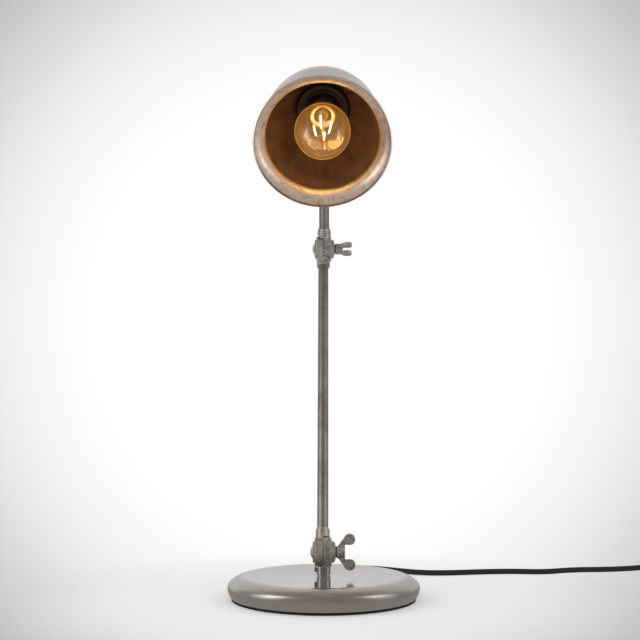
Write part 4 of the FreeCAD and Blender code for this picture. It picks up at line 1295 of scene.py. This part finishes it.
@dataclass
class KnurledBand:
    """The knurled band on the fixed half of the lower knuckle.

    Attributes:
        drum_radius: the radius of the plain drum under it.
        start: where it begins, from the seam.
        width: its width along the axis.
        depth: the height of its ridges.
        sunk: how far the grooves' floor lies inside the drum.
        foot: how far its hidden inner face lies inside the drum.
        fade: the width over which the ridges run out at each side.
        steepness: how steep the ridges are; above 1 their tops are flat.
        rows: how many rings of points it has.
        waves: how many ridges there are round it.
        wave_points: how many points each of them has.
    """

    drum_radius: float = 15.0
    start: float = 0.9
    width: float = 6.9
    depth: float = 0.75
    sunk: float = 0.05
    foot: float = 0.6
    fade: float = 0.5
    steepness: float = 1.6
    rows: int = 84
    waves: int = 38
    wave_points: int = 8

    def build(self) -> bpy.types.Object:
        """The band, whose radius follows two crossed families of ridges.

        With a the turn in ridges and s the distance along the axis in pitches, the height
        is the product of the triangle waves of (a + s) and (a - s), so that diamonds
        stand between two sets of crossed grooves.

        Returns:
            The band.
        """
        seam, axis_y, axis_z = joint_place("lower_tilt")
        angle = angles_round(self.waves * self.wave_points)
        pitch = 2 * math.pi * self.drum_radius / self.waves
        s = np.linspace(0, self.width, self.rows)[:, None]
        turn = self.waves * angle / (2 * np.pi)
        relief = 1.0
        for wave in (turn + s / pitch, turn - s / pitch):
            ridge = 1 - 2 * np.abs(wave - np.floor(wave) - 0.5)
            relief = relief * np.minimum(1, self.steepness * ridge)
        fade = np.clip(np.minimum(s, self.width - s) / self.fade, 0, 1)
        radius = self.drum_radius - self.sunk + self.depth * relief * fade
        radius[0] = radius[-1] = self.drum_radius - self.foot
        y, z, x = np.moveaxis(turned(radius, s, angle), -1, 0)
        points = np.stack([seam + self.start + x, axis_y + y, axis_z + z], axis=-1)
        # How deep each point lies in the grooves, where the finish paints shade along with patina.
        groove = (1 - relief) ** 2 * fade
        band = write_mesh("knurled_band", points.reshape(-1, 3),
                          [ring_faces(self.rows, len(angle), closed=True)],
                          marks={"groove": groove.ravel()}, sharp=60)
        return dress(band, Slot.CAST, "base")


# ---------------------------------------------------------------- head


# How far the bulb's axis lies beside the hinge's middle, in millimetres, and how far
# the shade dips below level at rest, in degrees.
HEAD_AXIS_OFFSET = -0.5
HEAD_DIP = 35.0


def head_home() -> Home:
    """The head's own frame: Z is the bulb's axis, towards the mouth, from the hinge."""
    x, y, z = joint_place("head_tilt")
    return Home((x + HEAD_AXIS_OFFSET, y, z), 90 + HEAD_DIP)


@dataclass
class Shade:
    """The shade and its bell as one closed shell.

    Attributes:
        home: the head's frame.
        wall: its thickness.
        bead: the radius of the rolled rim.
        flare: how far behind the rim the bell begins.
        dome_start: how far behind the rim the dome begins.
        dome_curve: the radius of the dome's section.
        barrel_radius, back_radius, hole_radius: its radii.
        throat_depth: how far behind the rim the lining's throat is.
        throat_radius: the throat's radius.
    """

    home: Home
    wall: float = 1.2
    bead: float = 1.4
    flare: float = 30.0
    dome_start: float = 47.4
    dome_curve: float = 75.0
    barrel_radius: float = 63.6
    back_radius: float = 22.0
    hole_radius: float = 5.1
    throat_depth: float = 19.0
    throat_radius: float = 59.8

    def profile(self) -> tuple[Array, Array]:
        """The shade's section, round from the hole at its back.

        The dome is an arc of dome_curve; the bell's outer arc is tangent to the barrel,
        so its radius is (run^2 + climb^2) / (2 climb), and so is the arc of its lining,
        which a quarter round joins to the barrel at the throat. The rim is a rolled bead.

        Returns:
            The points, and for each the share of the inner face.
        """
        _, rim, widest = self.home.reach("shade_bell")
        dome_z, bell_z = rim - self.dome_start, rim - self.flare
        rise = self.dome_curve - self.barrel_radius + self.back_radius
        inner = self.dome_curve - self.wall
        back_z = dome_z - math.sqrt(self.dome_curve ** 2 - rise ** 2)
        floor_z = dome_z - math.sqrt(inner ** 2 - rise ** 2)
        lip = widest - self.bead
        climb, run = lip - self.barrel_radius, self.flare - 2 * self.bead
        bell = (run ** 2 + climb ** 2) / (2 * climb)
        share = (bell + self.wall) / bell
        mouth = (self.barrel_radius + bell - (bell - climb) * share, bell_z + run * share)
        thin = self.barrel_radius - self.wall
        throat = (self.throat_radius, rim - self.throat_depth)
        depth, widening = mouth[1] - throat[1], mouth[0] - throat[0]
        lining = (depth ** 2 + widening ** 2) / (2 * widening)
        round_off = thin - self.throat_radius
        foot = (thin, throat[1] - round_off)
        outside = np.concatenate([
            line((self.hole_radius, back_z), (self.back_radius, back_z), 6),
            arc((self.back_radius, back_z), (self.barrel_radius, dome_z), self.dome_curve, 40),
            line((self.barrel_radius, dome_z), (self.barrel_radius, bell_z), 8),
            arc((self.barrel_radius, bell_z), (lip, rim - 2 * self.bead), -bell, 24),
            arc((lip, rim - 2 * self.bead), (widest, rim - self.bead), self.bead, 7),
            arc((widest, rim - self.bead), (lip, rim), self.bead, 7)])
        inside = np.concatenate([
            arc((lip, rim), mouth, self.bead * 1.6, 6),
            arc(mouth, throat, lining, 28),
            arc(throat, foot, round_off, 8),
            line(foot, (thin, dome_z), 12),
            arc((thin, dome_z), (self.back_radius, floor_z), -inner, 40),
            line((self.back_radius, floor_z), (self.hole_radius, floor_z), 6),
            line((self.hole_radius, floor_z), (self.hole_radius, back_z))])
        marks = np.repeat([0.0, 1.0], [len(outside), len(inside)])
        return np.concatenate([outside, inside]), marks

    def build(self) -> bpy.types.Object:
        """The profile turned about the bulb's axis, with the finish's two measures.

        Returns:
            The shell.
        """
        profile, inside = self.profile()
        back, rim = self.home.reach("shade")[0], self.home.reach("shade_bell")[1]
        reach = (rim - profile[:, 1]) / (rim - back)
        piece = Lathe(profile, self.home, 192).build("shade_shell", {"inside": inside, "reach": reach})
        return dress(piece, Slot.SHADE, "head", "shade", "shade_bell")


@dataclass
class Bulb:
    """The globe bulb: its hollow glass, its screw cap, its filaments and its light.

    Attributes:
        home: the head's frame.
        glass_wall: the glass's thickness.
        neck_radius, neck_height: the size of the glass's straight neck.
        globe_angle: how far below the globe's middle its throat begins, in degrees.
        throat_curve: the radius of the throat's section.
        thread_pitch, thread_depth: the size of the cap's thread.
        cap_foot: the height of the cap's insulator.
        cap_collar: the plain height at the cap's top.
        fade: the height over which the thread runs out.
        cap_rows, cap_sides: how many points the thread has along the axis and round it.
        sticks: how many filament sticks there are.
        first_bearing: the first one's place round the axis, in degrees.
        stick_length: their length.
        back_spread, front_spread: their distance from the axis at both ends.
        bow: how far they bend outwards.
        tip_radius, swell: the radius of their tips, and what their middle adds to it.
        front_gap: how far their wires' front is behind the CAD node's.
        stick_points, tab: how many points their path has, and how many at each end are
            left bare.
        hook_shares, hook_drops: the two roots of a wire's hook, as shares of
            back_spread and as heights below the path's back.
        light_power, light_size: the power and the radius of the light that it gives.
        light_set_back: how far the light is behind the globe's middle.
    """

    home: Home
    glass_wall: float = 0.35
    neck_radius: float = 12.9
    neck_height: float = 5.0
    globe_angle: float = 40.0
    throat_curve: float = 45.0
    thread_pitch: float = 3.6
    thread_depth: float = 0.75
    cap_foot: float = 6.5
    cap_collar: float = 3.0
    fade: float = 2.0
    cap_rows: int = 84
    cap_sides: int = 72
    sticks: int = 4
    first_bearing: float = 12.0
    stick_length: float = 37.0
    back_spread: float = 10.0
    front_spread: float = 6.4
    bow: float = 0.5
    tip_radius: float = 0.35
    swell: float = 0.5
    front_gap: float = 0.4
    stick_points: int = 40
    tab: int = 3
    hook_shares: tuple[float, float] = (0.12, 0.55)
    hook_drops: tuple[float, float] = (0.5, 0.9)
    wire_radius: float = 0.3
    light_power: float = 0.122
    light_size: float = 24.0
    light_set_back: float = 3.0
    light_colour: Colour = (1.0, 0.73, 0.38)

    def skin(self, inset: float) -> Array:
        """One face of the glass: a straight neck, an arc out to the globe, and the globe.

        The globe is a circle of the node's radius. The throat's arc meets it
        globe_angle below its middle, at (r cos a, centre - r sin a).

        Args:
            inset: how far the face lies inside the outer one.

        Returns:
            The radius and height of its points, from the neck's foot to the pole.
        """
        low, top, radius = self.home.reach("bulb_glass")
        centre = top - radius
        ball, neck = radius - inset, self.neck_radius - inset
        angle = math.radians(self.globe_angle)
        meet = (ball * math.cos(angle), centre - ball * math.sin(angle))
        shoulder = (neck, low + self.neck_height)
        return np.concatenate([
            line((neck, low), shoulder, 3),
            arc(shoulder, meet, -(self.throat_curve + inset), 14),
            arc(meet, (ball, centre), ball, 18),
            arc((ball, centre), (0, centre + ball), ball, 36),
            [(0, centre + ball)]])

    def build_glass(self) -> bpy.types.Object:
        """The hollow glass, outside and in, which throws no shadow.

        Returns:
            The glass.
        """
        profile = np.concatenate([self.skin(0.0), self.skin(self.glass_wall)[::-1]])
        glass = Lathe(profile, self.home, 96).build("globe_glass", sharp=80)
        merge_poles(glass)
        glass.visible_shadow = False
        return dress(glass, Slot.AMBER, "head", "bulb_glass")

    def build_cap(self) -> bpy.types.Object:
        """The screw cap, its shell rolled into a round thread.

        The radius along the shell is that of the shell less a cosine of the height
        and the angle, so the crests climb one pitch in each turn.

        Returns:
            The cap.
        """
        low, high, radius = self.home.reach("bulb_cap")
        angle = angles_round(self.cap_sides)
        z = np.linspace(low + self.cap_foot, high, self.cap_rows)[:, None]
        wave = np.cos(2 * np.pi * z / self.thread_pitch - angle)
        fade = np.clip(np.minimum(z - z[0], high - self.cap_collar - z) / self.fade, 0, 1)
        shell = radius - self.thread_depth * fade * (0.5 - 0.5 * wave)
        foot = np.array([(0, 0), (3.6, 0), (4.2, 0.6), (4.6, 1.4), (6.4, 2.4), (9.5, 4), (12.6, 5)])
        top = np.array([(radius - 0.7, 0), (radius - 0.9, -1.5), (0, -1.5)])
        rings = [np.repeat(part[:, :1], len(angle), axis=1) for part in (foot, top)]
        heights = np.concatenate([low + foot[:, 1:], z, high + top[:, 1:]])
        points = turned(np.concatenate([rings[0], shell, rings[1]]), heights, angle)
        cap = write_mesh("threaded_cap", self.home.outwards(points.reshape(-1, 3)),
                         [ring_faces(len(heights), len(angle))])
        merge_poles(cap)
        return dress(cap, Slot.LAMP_CAP, "head", "bulb_cap")

    def build_filaments(self) -> list[bpy.types.Object]:
        """The four glowing sticks and the wires that hold their ends.

        Each stick is a rod that thins to a tab at both ends; its path is the straight
        line between its two ends, bowed outwards by a sine. A hook comes to it from the
        stem at the back, and a crown wire leads from its front to the axis.

        Returns:
            The sticks as one piece, and the wires as another.
        """
        low, high, _ = self.home.reach("bulb_filaments")
        front = high - self.front_gap
        back = front - self.stick_length
        share = np.linspace(0, 1, self.stick_points)
        away = (self.back_spread + (self.front_spread - self.back_spread) * share
                + self.bow * np.sin(np.pi * share))
        spine = np.array([[0, 0, low], [0, 0, front]])
        sticks, wires = [], []
        for number in range(self.sticks):
            angle = math.radians(self.first_bearing + 360 / self.sticks * number)
            path = turned(away, back + self.stick_length * share, angle)
            body = path[self.tab:-self.tab]
            order = np.arange(len(body))
            ends = np.clip(np.minimum(order, order[::-1]) / 2, 0, 1)
            thick = self.tip_radius + self.swell * np.sqrt(ends)
            sticks.append(sweep("stick", body, thick, self.home, 14))
            roots = turned(self.back_spread * np.array(self.hook_shares),
                           back - np.array(self.hook_drops), angle)
            hook = np.array([*roots, path[0], path[4]])
            crown = np.array([path[-5], path[-1], path[-1] * [0.5, 0.5, 1], spine[1]])
            wires += [sweep("wire", part, np.full(len(part), self.wire_radius), self.home, 8)
                      for part in (hook, crown)]
        wires.append(sweep("wire", spine, np.full(2, self.tip_radius), self.home, 8))
        glowing = dress(join_pieces("filament_sticks", sticks), Slot.GLOW, "head", "bulb_filaments")
        holding = dress(join_pieces("filament_wires", wires), Slot.GLOW, "head", finish=WIRE)
        return [glowing, holding]

    def make_light(self) -> None:
        """The bulb's own warm light, which rides with the head."""
        _, top, radius = self.home.reach("bulb_glass")
        middle = np.array([[0, 0, top - radius - self.light_set_back]])
        glow = bpy.data.lights.new("bulb_light", "POINT")
        glow.color = self.light_colour
        glow.energy = self.light_power
        glow.shadow_soft_size = self.light_size * MM
        holder = link("bulb_light", glow)
        holder.location = Vector(self.home.outwards(middle)[0]) * MM
        holder.visible_camera = False
        holder.visible_transmission = False
        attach(holder, "head")


# ---------------------------------------------------------------- assembly


def dress_frame() -> None:
    """Gives every CAD node the finish of its own slot."""
    for name, node in frame["nodes"].items():
        slot = Slot(node.material_slots[0].material.name.split(".")[0])
        node.material_slots[0].material = FINISHES[slot].make()
        log.info("%s wears %s", name, slot.value)


def main() -> None:
    """Builds the camera and the lead, then the pieces, the finishes and the studio."""
    logging.basicConfig(level=logging.INFO, format="%(name)s: %(message)s")
    studio = Studio()
    studio.make_camera()
    MainsLead().build()
    dress_frame()
    KnurledBand().build()
    home = head_home()
    Shade(home).build()
    bulb = Bulb(home)
    bulb.build_glass()
    bulb.build_cap()
    bulb.build_filaments()
    studio.make_floor()
    studio.make_world()
    studio.make_lights()
    bulb.make_light()
    bpy.context.scene.view_settings.view_transform = "Standard"


if __name__ == "__main__":
    main()
